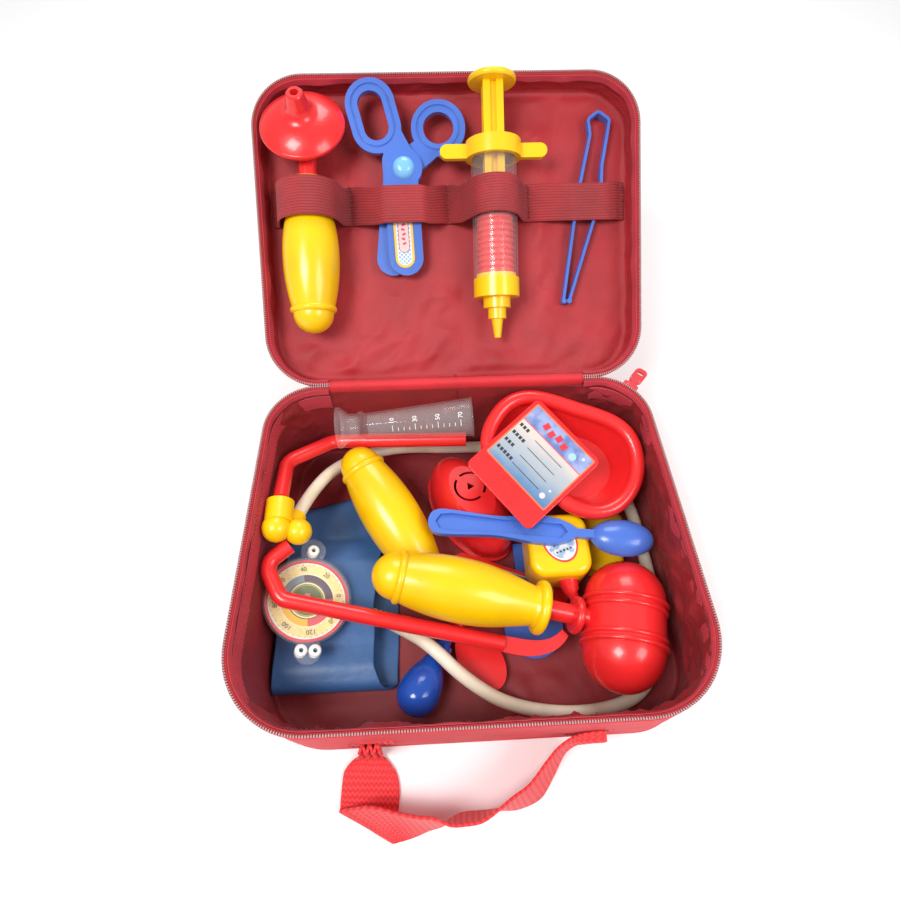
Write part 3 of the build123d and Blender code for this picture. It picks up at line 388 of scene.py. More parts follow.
# %% Stethoscope hose
HOSE_POINTS = (
    (-0.1124, 0.0260, 0.0553), (-0.1080, 0.0460, 0.0446), (-0.0920, 0.0780, 0.0270),
    (-0.0520, 0.0980, 0.0170), (0.0020, 0.0970, 0.0120), (0.0580, 0.0990, 0.0110),
    (0.1080, 0.0940, 0.0102), (0.1310, 0.0500, 0.0100), (0.1345, 0.0000, 0.0104),
    (0.1355, -0.0500, 0.0100), (0.1180, -0.0940, 0.0102), (0.0740, -0.1040, 0.0100),
    (0.0260, -0.0970, 0.0120), (-0.0040, -0.0800, 0.0250), (-0.0260, -0.0580, 0.0322),
    (-0.0450, -0.0445, 0.0212), (-0.0612, -0.0341, 0.0142),
)
HOSE_DIAMETER = 0.009


def hose_rubber():
    """Cream vinyl, a little waxy, with dust in the shaded places."""
    cream = (0.93, 0.82, 0.66)
    made = Finish("hose_rubber", cream, 0.42, Subsurface_Weight=0.08, IOR=1.45)
    spot = made.place()
    cloud = made.noise(spot, 30.0, 3.0)
    tone = made.blend(made.smooth(cloud, 0.35, 0.7), cream, (0.74, 0.62, 0.46))
    speck = made.smooth(made.noise(spot, 600.0, 1.0), 0.70, 0.78)
    made.paint("Base Color", made.blend(speck * 0.4, tone, (0.45, 0.33, 0.22)))
    made.paint("Roughness", 0.36 + 0.14 * cloud)
    made.bump(made.noise(spot, 250.0, 2.0), 0.0001, 0.4)
    return made.material


curve = bpy.data.curves.new("stethoscope_hose", "CURVE")
curve.dimensions = "3D"
line = curve.splines.new("NURBS")
line.points.add(len(HOSE_POINTS) - 1)
for point, place in zip(line.points, HOSE_POINTS):
    point.co = (*place, 1.0)
line.order_u = 3
line.use_endpoint_u = True
curve.resolution_u = 10
curve.bevel_depth = HOSE_DIAMETER / 2
curve.bevel_resolution = 6
curve.use_fill_caps = True
hose = bpy.data.objects.new("stethoscope_hose", curve)
bpy.context.scene.collection.objects.link(hose)
curve.materials.append(hose_rubber())
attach(hose, "base")
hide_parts("sth_hose")
print("hose of", len(HOSE_POINTS), "control points")

# %% [markdown]
# ## Cloth from a grid
# Every soft piece starts as a flat grid of cloth, as it would be cut. Each point of the grid is then laid in its
# place by a rule, the seam is closed, and the cloth gets its thickness. The grid keeps where each point was on
# the flat cloth in its UV map, in metres, so the weave follows every fold.

# %% A sheet laid by a rule


def alone(piece):
    """Selects just this piece."""
    bpy.ops.object.select_all(action="DESELECT")
    piece.select_set(True)
    bpy.context.view_layer.objects.active = piece


def thicken(piece, thick, side=-1.0, rim_slot=0, inner_slot=0):
    """Gives cloth its thickness, in millimetres, to one side of the sheet."""
    alone(piece)
    wall = piece.modifiers.new("thickness", "SOLIDIFY")
    wall.thickness = thick * MM
    wall.offset = side
    wall.material_offset = inner_slot
    wall.material_offset_rim = rim_slot
    bpy.ops.object.modifier_apply(modifier=wall.name)


def lay_sheet(name, columns, rows, rule, flat, closed=False, thick=0.0, side=-1.0, to=None, floor=0.0, flip=False):
    """A grid of cloth in millimetres. rule(u, v) places each point, and flat is the cut size.
    to() carries the points on into the case. Below floor the pattern lies on the plane, as on a flat panel."""
    bpy.ops.object.select_all(action="DESELECT")
    bpy.ops.mesh.primitive_grid_add(x_subdivisions=columns, y_subdivisions=rows, size=2)
    piece = bpy.context.object
    piece.name = name
    mesh = piece.data
    mesh.name = name
    shares = [((p.co.x + 1) / 2, (p.co.y + 1) / 2) for p in mesh.vertices]
    spots = [Vector(rule(u, v)) for u, v in shares]
    cloth = mesh.uv_layers[0]
    cloth.name = "cloth"
    for face in mesh.polygons:
        middle = sum(shares[i][1] for i in face.vertices) / len(face.vertices)
        for loop in face.loop_indices:
            i = mesh.loops[loop].vertex_index
            u, v = shares[i]
            on_paper = (spots[i].x, spots[i].y) if middle < floor else (u * flat[0], v * flat[1])
            cloth.data[loop].uv = (on_paper[0] * MM, on_paper[1] * MM)
    for point, spot in zip(mesh.vertices, spots):
        point.co = (to(spot) if to else spot) * MM
    if closed:
        alone(piece)
        bpy.ops.object.mode_set(mode="EDIT")
        bpy.ops.mesh.select_all(action="SELECT")
        bpy.ops.mesh.remove_doubles(threshold=0.00004)
        bpy.ops.object.mode_set(mode="OBJECT")
    if flip:
        mesh.flip_normals()
    if thick:
        thicken(piece, thick, side)
    for face in mesh.polygons:
        face.use_smooth = True
    return piece


def finish_piece(piece, body, material, slot, *nodes):
    """Puts a piece on its body, with its finish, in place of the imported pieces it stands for."""
    if material:
        piece.data.materials.clear()
        piece.data.materials.append(material)
    if body:
        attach(piece, body)
    if nodes:
        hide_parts(*nodes)
    print(piece.name, len(piece.data.polygons), "faces")
    return piece


# %% [markdown]
# ## Creases
# Creased cloth has thin ridges with soft hollows between them. Smooth noise crosses zero along winding lines,
# so the distance from zero, turned over and sharpened, draws such ridges.

# %% Waves and ridges


def wave(x, y, z, scale):
    """Smooth noise from -1 to 1 at a place in millimetres, with bumps about scale millimetres wide."""
    return noise.noise(Vector((x / scale, y / scale, z / scale)))


def ridge(x, y, layer, scale, turn=0.0, stretch=1.0):
    """Ridges from 0 to 1 that wander along one direction."""
    a = x * cos(turn) + y * sin(turn)
    b = (y * cos(turn) - x * sin(turn)) * stretch
    return max(0.0, 1.0 - 2.6 * abs(noise.noise(Vector((a / scale, b / scale, layer))))) ** 1.6


def drape(x, y, layer, scale, turn=0.0):
    """Long soft folds from -1 to 1 that run along one direction."""
    a = x * cos(turn) + y * sin(turn)
    b = y * cos(turn) - x * sin(turn)
    return noise.noise(Vector((a / (2.8 * scale), b / scale, layer)))


def ease(value, low, high):
    """0 below low, 1 above high."""
    t = min(1.0, max(0.0, (value - low) / (high - low)))
    return t * t * (3 - 2 * t)


def away_from(boxes, x, y, reach=9.0):
    """0 inside any of the boxes, growing to 1 at reach millimetres from all of them."""
    nearest = min(
        hypot(max(left - x, x - right, 0.0), max(low - y, y - high, 0.0))
        for left, right, low, high in boxes
    )
    return ease(nearest, 0.0, reach)


def walk(points, t):
    """The point at share t of the length of a line of points."""
    points = [Vector(p) for p in points]
    runs = [(b - a).length for a, b in zip(points, points[1:])]
    want = t * sum(runs)
    for i, run in enumerate(runs):
        if want <= run or i == len(runs) - 1:
            return points[i].lerp(points[i + 1], min(1.0, want / run))
        want -= run


# %% [markdown]
# ## The outline of the case
# Base and lid are rounded oblongs that widen towards the front. One rule walks round such an outline, from the
# middle of the hinge side. The floor outline of the base has a partner point for each point of its rim, so the
# walls can be drawn straight from one to the other.

# %% Walking round a rounded outline


def rounded_outline(corners, radii, first):
    """Points and outward directions round a quad, counter-clockwise, from the middle of side number first."""
    count = len(corners)
    arcs = []
    for i, (corner, radius) in enumerate(zip(corners, radii)):
        here = Vector(corner)
        before = (Vector(corners[i - 1]) - here).normalized()
        after = (Vector(corners[(i + 1) % count]) - here).normalized()
        half = before.angle(after) / 2
        middle = here + (before + after).normalized() * radius / sin(half)
        start = here + before * radius * cos(half) / sin(half)
        end = here + after * radius * cos(half) / sin(half)
        a = atan2(start.y - middle.y, start.x - middle.x)
        b = atan2(end.y - middle.y, end.x - middle.x)
        b += 2 * pi if b < a else 0.0
        arc = []
        for k in range(17):
            out = Vector((cos(a + (b - a) * k / 16), sin(a + (b - a) * k / 16)))
            arc.append((middle + out * radius, out))
        arcs.append(arc)
    path = []
    for i, arc in enumerate(arcs):
        path += arc
        p, out = arc[-1]
        q = arcs[(i + 1) % count][0][0]
        path += [(p.lerp(q, k / 32), out) for k in range(1, 32)]
    start = first * 48 + 16 + 16
    return path[start:] + path[:start]


def evened(lead, others, count=900):
    """The outlines again, with points evenly spaced along the first one, and its length."""
    size = len(lead)
    runs = [(lead[(i + 1) % size][0] - lead[i][0]).length for i in range(size)]
    made = [[] for path in others]
    i, done = 0, 0.0
    for k in range(count):
        want = sum(runs) * k / count
        while done + runs[i] < want:
            done += runs[i]
            i += 1
        f = (want - done) / runs[i]
        for path, line in zip(others, made):
            (p, a), (q, b) = path[i], path[(i + 1) % size]
            line.append((p.lerp(q, f), a.lerp(b, f).normalized()))
    return made, sum(runs)


def along(path, u):
    """The point and outward direction at share u of the way round a closed path."""
    at = (u % 1.0) * len(path)
    i = int(at) % len(path)
    (p, a), (q, b) = path[i], path[(i + 1) % len(path)]
    return p.lerp(q, at - int(at)), a.lerp(b, at - int(at)).normalized()


# %% Sizes of the case
RIM_HEIGHT = 88.0
WALL_TOP = 82.2
HINGE_Y = 110.0
HINGE_HALF = 88.0
LID_DEPTH = 25.0
LID_ANGLE = radians(30.6)
ZIP_LOW = -5.8
rim_line = rounded_outline(
    ((-145.0, -113.0), (145.0, -113.0), (130.0, 109.7), (-130.0, 109.7)), (48.0, 48.0, 35.0, 35.0), 2
)
floor_line = rounded_outline(
    ((-137.0, -115.0), (150.0, -115.0), (137.0, 106.0), (-125.0, 106.0)), (42.0, 42.0, 30.0, 30.0), 2
)
lid_line = rounded_outline(
    ((-131.0, 0.3), (131.0, 0.3), (135.0, 212.0), (-135.0, 212.0)), (35.0,) * 4, 0
)
(RIM, FLOOR), RIM_LENGTH = evened(rim_line, (rim_line, floor_line))
(LID,), LID_LENGTH = evened(lid_line, (lid_line,))
LID_V = Vector((0, cos(LID_ANGLE), sin(LID_ANGLE)))
LID_W = Vector((0, -sin(LID_ANGLE), cos(LID_ANGLE)))
print("round the rim", round(RIM_LENGTH), "mm, round the lid", round(LID_LENGTH), "mm")


def in_lid(spot):
    """A place across, along and above the lid's rim, carried to where the lid stands open."""
    return Vector((spot.x, HINGE_Y, RIM_HEIGHT)) + LID_V * spot.y + LID_W * spot.z


def base_spot(u, h, out=0.0):
    """A place on the base's wall at height h, or out millimetres outside it."""
    (p, a), (q, b) = along(FLOOR, u), along(RIM, u)
    share = min(1.0, h / WALL_TOP)
    spot = p.lerp(q, share) + a.lerp(b, share).normalized() * out
    return Vector((spot.x, spot.y, h))


def lid_spot(u, w, out=0.0):
    """The same on the lid's wall, in the lid's own directions."""
    p, a = along(LID, u)
    spot = p + a * out
    return Vector((spot.x, spot.y, w))


# %% [markdown]
# ## Woven cloth
# The case is polyester twill outside and a thinner, shinier twill inside. The weave is modelled in the finish:
# slanted threads a little under a millimetre apart, crossed by finer ones, with slow changes of shade where the
# cloth has been handled, and a painted highlight on the raised threads.

# %% Twill and lining
CASE_RED = (0.58, 0.012, 0.022)
LINING_RED = (0.35, 0.009, 0.015)


def twill(name, color, pitch, roughness, gleam, creased=0.0):
    """A slanted weave on the flat cloth, with fine creases, changes of shade and a painted highlight on the raised
    threads.
    """
    made = Finish(name, color, roughness, Sheen_Weight=0.10, Sheen_Roughness=0.35)
    made.shader.inputs["Sheen Tint"].default_value = (1.0, 0.4, 0.42, 1)
    made.shader.inputs["Specular IOR Level"].default_value = 0.35
    flat = made.cloth()
    u, v, unused = made.split(flat)
    step = 2 * pi / (pitch * MM)
    slant = (u * step + v * (step * 0.8)).math("SINE")
    cross = (u * (step * 0.9) - v * (step * 1.1)).math("SINE")
    weave = slant * 0.32 + cross * 0.14 + 0.5
    wear = made.noise(flat, 26.0, 4.0, 0.6)
    fine = made.noise(flat, 900.0, 2.0)
    tone = made.blend(made.smooth(wear, 0.3, 0.72), shade(color, 0.78), shade(color, 1.2))
    # Painted highlight: the raised threads of the weave are painted lighter than the cloth.
    lit = made.blend(made.smooth(weave, 0.1, 0.95) * 0.8, tone, tuple(c * 1.3 + 0.04 for c in color))
    dusty = made.blend(made.smooth(fine, 0.62, 0.8) * 0.2, lit, tuple(c * 0.8 + 0.10 for c in color))
    made.paint("Base Color", dusty)
    made.paint("Roughness", roughness - gleam * weave + 0.12 * wear)
    fold = made.noise(flat, 62.0, 5.0, 0.62)
    made.bump(weave * 0.16 + 0.05 * fine + creased * fold, 0.0012, 0.8)
    return made.material


case_cloth = twill("case_cloth", CASE_RED, 1.1, 0.62, 0.12, 0.4)
lining = twill("lining", LINING_RED, 1.25, 0.46, 0.16, 0.8)
# The base's lining is the lid's lining cloth painted a third darker, as painted shade for the deep inside of the base.
base_lining_shaded_cloth = twill("base_lining_shaded_cloth", shade(LINING_RED, 0.66), 1.25, 0.46, 0.16, 0.8)
tape_cloth = twill("zip_tape", shade(CASE_RED, 0.72), 1.3, 0.66, 0.06)
mesh_tape = twill("seam_tape", (0.46, 0.030, 0.050), 1.7, 0.58, 0.10)
print("cloths:", case_cloth.name, lining.name, tape_cloth.name, mesh_tape.name)

# %% [markdown]
# ## The base of the case
# A soft bag with foam between two cloths: the outer cloth turns under at the bottom, and the lining is a
# little too large for it, so it lies in creases. The outer cloth is one grid that starts at the middle of the
# bottom and climbs the walls.

# %% Outer cloth of the base
BASE_MIDDLE = Vector((5.0, -5.0, 0.0))
BASE_PROFILE = [(-3.5 + 3.5 * sin(a * pi / 12), 3.5 - 3.5 * cos(a * pi / 12)) for a in range(7)] + [(0, WALL_TOP)]


def pan(spot_at, middle, profile, panel, ripple):
    """A rule for a skin that is flat from its middle and then follows a profile of (out, height) up the wall."""
    def rule(u, v):
        if v < panel:
            edge = spot_at(u, profile[0][1], profile[0][0])
            made = middle.lerp(edge, v / panel)
            return made + Vector((0, 0, ripple(u, v, made, 0.0)))
        out, height = walk(profile, (v - panel) / (1 - panel))
        made = spot_at(u, height, out)
        rise = (v - panel) / (1 - panel)
        return spot_at(u, height, out + ripple(u, v, made, rise))
    return rule


def base_ripple(u, v, at, rise):
    if v < 0.2:
        return 0.25 * abs(wave(at.x, at.y, 3.0, 40))
    swell = sin(pi * min(1.0, rise)) ** 0.6
    return swell * (0.9 + 1.3 * wave(at.x, at.y, at.z, 46) + 0.5 * wave(at.x, at.y, at.z * 2, 15))


base_cloth = lay_sheet(
    "base_cloth", 340, 44, pan(base_spot, BASE_MIDDLE, BASE_PROFILE, 0.2, base_ripple),
    (RIM_LENGTH, 106.0), closed=True, thick=0.9, side=-1.0, floor=0.2,
)
finish_piece(base_cloth, "base", case_cloth, "case_cloth", "base_shell")

# %% Lining of the base
BASE_TOYS = (
    (-136, -44, -87, 70), (-60, 2, -112, -36), (-40, 60, -20, 92), (20, 84, -72, 26), (84, 124, -20, 42),
)
LINING_PROFILE = [(-9, 3.6), (-5.0, 3.8), (-3.3, 5.0), (-2.5, 9.0), (-2.1, 60), (-2.0, WALL_TOP - 0.2)]


def base_lining_ripple(u, v, at, rise):
    if v < 0.34:
        free = away_from(BASE_TOYS, at.x, at.y) * ease(0.34 - v, 0.0, 0.05)
        fold = abs(drape(at.x, at.y, 1.7, 26, 0.5)) + 0.5 * abs(drape(at.x, at.y, 4.1, 12, 1.9))
        return 0.35 * wave(at.x, at.y, 0.5, 20) - 0.35 + free * 3.2 * fold
    front = ease(-at.y, 84, 108) * ease(at.z, 18, 34)
    side = ease(at.x, 112, 138) * ease(at.z, 20, 36)
    back = ease(at.y, 84, 100) * ease(abs(at.x + 20), 78, 104)
    room = 0.35 + 3.6 * max(front, side, 0.7 * back)
    run = u * RIM_LENGTH
    fold = ridge(run, at.z, 2.2, 30, 0.9, 0.8) + 0.6 * ridge(run, at.z, 6.3, 13, 2.2)
    return -room * fold * ease(rise, 0.0, 0.12) * (1 - 0.7 * ease(rise, 0.82, 1.0)) + 0.2


base_lining = lay_sheet(
    "base_lining", 380, 84, pan(base_spot, BASE_MIDDLE + Vector((0, 0, 3.5)), LINING_PROFILE, 0.34, base_lining_ripple),
    (RIM_LENGTH, 120.0), closed=True, thick=0.35, side=1.0, floor=0.34, flip=True,
)
# The base's lining wears the darker copy of the lining cloth, which is painted shade.
finish_piece(base_lining, "base", base_lining_shaded_cloth, "lining_board", "base_board")

# %% [markdown]
# ## The lid
# The lid is a shallow tray of the same cloth. It is made flat, in its own directions, and carried to where it
# stands open.

# %% Cloth and lining of the lid
LID_MIDDLE = Vector((0.0, 106.0, -LID_DEPTH))
LID_PROFILE = [(-7 + 7 * sin(a * pi / 12), -LID_DEPTH + 7 - 7 * cos(a * pi / 12)) for a in range(7)]
LID_PROFILE.append((0, ZIP_LOW))
LID_TOYS = (
    (-122, -76, 34, 212), (-64, 8, 74, 212), (8, 54, 26, 212), (77, 119, 54, 193),
)


def lid_ripple(u, v, at, rise):
    if v < 0.5:
        swell = ease(0.5 - v, 0.0, 0.3)
        return swell * (-1.2 + 0.9 * wave(at.x, at.y, 1.0, 50) + 0.35 * wave(at.x, at.y, 8.0, 14))
    return sin(pi * rise) * (0.5 + 0.7 * wave(at.x, at.y, at.z, 38) + 0.3 * wave(at.x, at.y, at.z, 12))


lid_cloth = lay_sheet(
    "lid_cloth", 340, 56, pan(lid_spot, LID_MIDDLE, LID_PROFILE, 0.5, lid_ripple),
    (LID_LENGTH, 52.0), closed=True, thick=0.9, side=-1.0, to=in_lid, floor=0.5,
)
finish_piece(lid_cloth, "lid", case_cloth, "case_cloth", "lid_shell")

LID_BED = -21.1
LID_LINING_PROFILE = [(-6.5, -22.2), (-4.0, -21.4), (-2.8, -19.5), (-2.3, -15), (-2.0, ZIP_LOW - 0.2)]


def lid_lining_ripple(u, v, at, rise):
    if v < 0.62:
        free = away_from(LID_TOYS, at.x, at.y, 12.0) * ease(0.62 - v, 0.0, 0.04)
        soft = drape(at.x, at.y, 5.0, 26, 0.7)
        fold = drape(at.x, at.y, 3.3, 15, 0.45) + 0.6 * drape(at.x, at.y, 8.8, 9, 1.2)
        crease = ridge(at.x, at.y, 6.1, 60, 0.7, 2.2) * ease(60 - at.y, 0, 40)
        wide = ridge(at.x, at.y, 3.3, 64, 0.75, 2.0) + 0.5 * ridge(at.x, at.y, 9.4, 30, 0.3, 2.0)
        return 0.5 * soft + 0.3 * fold + free * (1.8 * soft + 1.4 * fold + 1.5 * crease + 1.6 * wide)
    run = u * LID_LENGTH
    fold = ridge(run, at.z, 5.5, 20, 1.2, 0.8) + 0.5 * ridge(run, at.z, 9.1, 9, 0.4)
    return -1.3 * fold * sin(pi * min(1.0, rise))


lid_lining = lay_sheet(
    "lid_lining", 380, 96,
    pan(lid_spot, Vector((0.0, 106.0, -22.2)), LID_LINING_PROFILE, 0.62, lid_lining_ripple),
    (LID_LENGTH, 50.0), closed=True, thick=0.35, side=1.0, to=in_lid, floor=0.62, flip=True,
)
finish_piece(lid_lining, "lid", lining, "lining_board", "lid_board")

# %% [markdown]
# ## The zip
# A coil zip runs round three sides of the case. Each half is a woven tape sewn to the cloth, with a nylon coil
# along its edge. Both are rings with a closed section that is carried round the outline; the coil's section
# swells and shrinks once for each turn of the nylon.

# %% Zip coil and tape
COIL_PITCH = 1.55


def coil_nylon():
    """Nylon with a painted highlight on each turn and painted shade between the turns."""
    made = Finish("zip_coil", (0.42, 0.13, 0.14), 0.34, IOR=1.5)
    u, v, unused = made.split(made.cloth())
    turn = (u * (2 * pi / (COIL_PITCH * MM))).math("COSINE") * -0.5 + 0.5
    dirt = made.noise(made.place(), 60.0, 3.0)
    # Painted shade and highlight: dark between the turns of the coil, pale on each turn.
    tone = made.blend(made.smooth(turn, 0.15, 0.75), (0.10, 0.012, 0.018), (0.56, 0.28, 0.28))
    made.paint("Base Color", made.blend(made.smooth(dirt, 0.5, 0.8) * 0.4, tone, (0.30, 0.05, 0.06)))
    made.paint("Roughness", 0.26 + 0.25 * dirt)
    made.bump(made.noise(made.place(), 700.0, 1.0), 0.00005, 0.5)
    return made.material


coil_finish = coil_nylon()


def ring_rule(spot_at, start, end, section, swell=None):
    """A closed section of (out, height) points, carried round part of an outline."""
    def rule(u, v):
        place = start + (end - start) * u
        out, height = walk(section, v)
        if swell:
            out, height = swell(place, out, height)
        return spot_at(place, height, out)
    return rule


def zip_half(name, spot_at, length, level, body, nodes, to=None):
    """A tape and its coil along one rim, from one end of the hinge round to the other."""
    start = (HINGE_HALF + 0.7) / length
    end = 1 - start
    run = (end - start) * length
    turns = round(run / COIL_PITCH)
    tape = [(0, level - 5.4), (0.35, level - 4.0), (0.3, level - 1.9), (-0.5, level - 1.4), (-1.5, level - 1.5),
            (-2.0, level - 2.6), (-2.0, level - 5.4), (0, level - 5.4)]
    piece = lay_sheet(
        name + "_tape", 380, 14, ring_rule(spot_at, start, end, tape), (run, 14.0), closed=True, to=to
    )
    finish_piece(piece, body, tape_cloth, "zip_tape", *nodes)

    def swell(place, out, height):
        turn = 0.5 - 0.5 * cos(2 * pi * turns * (place - start) / (end - start))
        near = ease(min(place - start, end - place) * length, 0.0, 1.0)
        size = (0.60 + 0.34 * turn) * (0.05 + 0.95 * near)
        return -0.1 + out * size, level - 0.85 + height * size
    circle = [(cos(a * pi / 4), sin(a * pi / 4)) for a in range(9)]
    coil = lay_sheet(
        name + "_coil", turns * 6, 8, ring_rule(spot_at, start, end, circle, swell),
        (turns * COIL_PITCH, 5.0), closed=True, to=to,
    )
    finish_piece(coil, body, coil_finish, "zip_tape")
    return turns


base_turns = zip_half("base_zip", base_spot, RIM_LENGTH, RIM_HEIGHT - 0.4, "base", ("base_zip",))
lid_turns = zip_half("lid_zip", lid_spot, LID_LENGTH, -0.4, "lid", ("lid_zip",), in_lid)
print("turns of the coil:", base_turns, "on the base,", lid_turns, "on the lid")

# %% [markdown]
# ## Piping, seam allowances and the seam tape
# Inside, the raw edges of the lining stand up along the zip as a ragged strip, and a coarser tape covers the
# seam of the base's walls. Outside, a rolled edge of cloth runs just under each zip.

# %% Strips along the rims


def ragged(place, depth, pitch, length):
    """How far an overlocked edge reaches at a place, as small uneven teeth."""
    run = place * length
    tooth = abs((run / pitch) % 1.0 - 0.5) * 2
    return depth * (0.82 + 0.16 * tooth + 0.10 * wave(run, 3.0, 0.0, 9.0))


def strip(name, spot_at, length, span, rule, rows, body, material, slot, to=None, columns=420, thick=0.35):
    """A band of cloth along a rim. rule(place, v) gives (out, height) in millimetres."""
    def laid(u, v):
        place = span[0] + (span[1] - span[0]) * u
        out, height = rule(place, v)
        return spot_at(place, height, out)
    piece = lay_sheet(
        name, columns, rows, laid, ((span[1] - span[0]) * length, 12.0), thick=thick, side=0.0, to=to
    )
    return finish_piece(piece, body, material, slot)


def lid_allowance(place, v):
    reach = ragged(place, 6.4, 3.1, LID_LENGTH) * v
    lean = 1.6 * v + 1.5 * v * wave(place * LID_LENGTH, 1.0, 2.0, 17.0)
    return -2.3 - max(0.0, lean), -2.2 - reach


def base_allowance(place, v):
    reach = ragged(place, 5.0, 3.1, RIM_LENGTH) * v
    lean = 1.0 * v + 1.0 * v * wave(place * RIM_LENGTH, 5.0, 2.0, 15.0)
    return -2.3 - max(0.0, lean), RIM_HEIGHT - 2.4 - reach


def base_seam_tape(place, v):
    ripple = 0.25 * wave(place * RIM_LENGTH, v * 10, 7.0, 12.0)
    return -2.6 - ripple - 0.5 * sin(pi * v), 78.5 - 15.0 * v


RIM_SPAN = ((HINGE_HALF + 2) / RIM_LENGTH, 1 - (HINGE_HALF + 2) / RIM_LENGTH)
LID_SPAN = ((HINGE_HALF + 2) / LID_LENGTH, 1 - (HINGE_HALF + 2) / LID_LENGTH)
strip("lid_allowance", lid_spot, LID_LENGTH, LID_SPAN, lid_allowance, 6, "lid", mesh_tape, "case_cloth", in_lid)
strip("base_allowance", base_spot, RIM_LENGTH, RIM_SPAN, base_allowance, 5, "base", mesh_tape, "case_cloth")
strip("base_seam_tape", base_spot, RIM_LENGTH, RIM_SPAN, base_seam_tape, 8, "base", mesh_tape, "case_cloth")

ROLL = [(0.75 * cos(a * pi / 5), 0.75 * sin(a * pi / 5)) for a in range(11)]


def rolled_edge(name, spot_at, length, height, out, body, to=None):
    """A thin roll of cloth all round, just proud of the wall."""
    section = [(x + out, z + height) for x, z in ROLL]
    piece = lay_sheet(
        name, 420, 10, ring_rule(spot_at, 0.0, 1.0, section), (length, 4.7), closed=True, to=to
    )
    return finish_piece(piece, body, case_cloth, "case_cloth")


rolled_edge("base_rim_roll", base_spot, RIM_LENGTH, WALL_TOP - 0.6, 0.25, "base")
rolled_edge("base_floor_roll", base_spot, RIM_LENGTH, 4.2, 0.15, "base")
rolled_edge("lid_rim_roll", lid_spot, LID_LENGTH, ZIP_LOW - 0.6, 0.25, "lid", in_lid)
rolled_edge("lid_panel_roll", lid_spot, LID_LENGTH, -LID_DEPTH + 5.4, 0.1, "lid", in_lid)

# %% [markdown]
# ## The cloth hinge
# Between the ends of the zip the two halves are joined by a strip of doubled cloth. It bends from one body to
# the other, laid as it stands with the lid open.

# %% Hinge strip
lid_foot = in_lid(Vector((0, 2.6, -4.6)))
HINGE_SECTION = (
    (107.3, 82.0), (107.2, 85.2), (108.0, 87.6), (109.8, 88.7), (111.4, 88.4),
    tuple(in_lid(Vector((0, 2.5, -1.9))))[1:], (lid_foot.y, lid_foot.z),
)


def hinge_rule(u, v):
    y, z = walk(HINGE_SECTION, v)
    x = (u - 0.5) * 2 * (HINGE_HALF + 1.2)
    pucker = 0.35 * wave(x, y, z, 11.0)
    return Vector((x, y + 0.4 * pucker, z + pucker * sin(pi * v)))


hinge = lay_sheet("hinge_cloth", 150, 16, hinge_rule, (2 * HINGE_HALF, 14.0), thick=1.1, side=-1.0)
finish_piece(hinge, None, case_cloth, "case_cloth")
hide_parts("hinge_strip")
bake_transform(hinge)

# %% [markdown]
# ## Stitches
# A stitch is modelled once, as a small bead with pointed ends, and copied along each seam.

# %% Sewing


def bead():
    """One stitch, a millimetre long and lying along x."""
    bpy.ops.object.select_all(action="DESELECT")
    bpy.ops.mesh.primitive_ico_sphere_add(subdivisions=1, radius=0.5)
    made = bpy.context.object
    corners = [p.co.copy() for p in made.data.vertices]
    faces = [tuple(face.vertices) for face in made.data.polygons]
    bpy.data.objects.remove(made)
    return corners, faces


def thread_finish(name, color):
    made = Finish(name, color, 0.5, Sheen_Weight=0.3)
    spot = made.place()
    twist = made.noise(spot, 1400.0, 2.0)
    made.paint("Base Color", made.blend(made.smooth(twist, 0.35, 0.65), shade(color, 0.7), shade(color, 1.25)))
    made.paint("Roughness", 0.42 + 0.2 * twist)
    made.bump(twist, 0.0001, 0.6)
    return made.material


red_thread = thread_finish("red_thread", (0.34, 0.012, 0.024))
dark_thread = thread_finish("dark_thread", (0.14, 0.008, 0.014))
BEAD_CORNERS, BEAD_FACES = bead()


def sew(name, lines, body, thread, length=2.3, gap=0.9, thick=0.42):
    """Stitches along lines of (point, outward) pairs in millimetres, joined into one piece."""
    points, faces = [], []
    for line in lines:
        spots = [Vector(p) for p, out in line]
        outs = [Vector(out) for p, out in line]
        runs = [(b - a).length for a, b in zip(spots, spots[1:])]
        count = max(1, int(sum(runs) / (length + gap)))
        for k in range(count):
            want = sum(runs) * (k + 0.5) / count
            i = 0
            while want > runs[i] and i < len(runs) - 1:
                want -= runs[i]
                i += 1
            ahead = (spots[i + 1] - spots[i]).normalized()
            out = outs[i].lerp(outs[i + 1], want / runs[i])
            side = out.cross(ahead).normalized()
            middle = spots[i] + ahead * want
            first = len(points)
            for c in BEAD_CORNERS:
                points.append((middle + ahead * c.x * length + side * c.y * thick + out * c.z * thick) * MM)
            faces += [tuple(first + j for j in face) for face in BEAD_FACES]
    mesh = bpy.data.meshes.new(name)
    mesh.from_pydata(points, [], faces)
    for face in mesh.polygons:
        face.use_smooth = True
    piece = bpy.data.objects.new(name, mesh)
    bpy.context.scene.collection.objects.link(piece)
    return finish_piece(piece, body, thread, "case_cloth")


def rim_line_of(spot_at, span, height, out, to=None, steps=200):
    """A seam line round a rim for sew()."""
    made = []
    for k in range(steps + 1):
        place = span[0] + (span[1] - span[0]) * k / steps
        a, b = spot_at(place, height, out), spot_at(place, height, out + 1)
        if to:
            a, b = to(a), to(b)
        made.append((a, b - a))
    return made


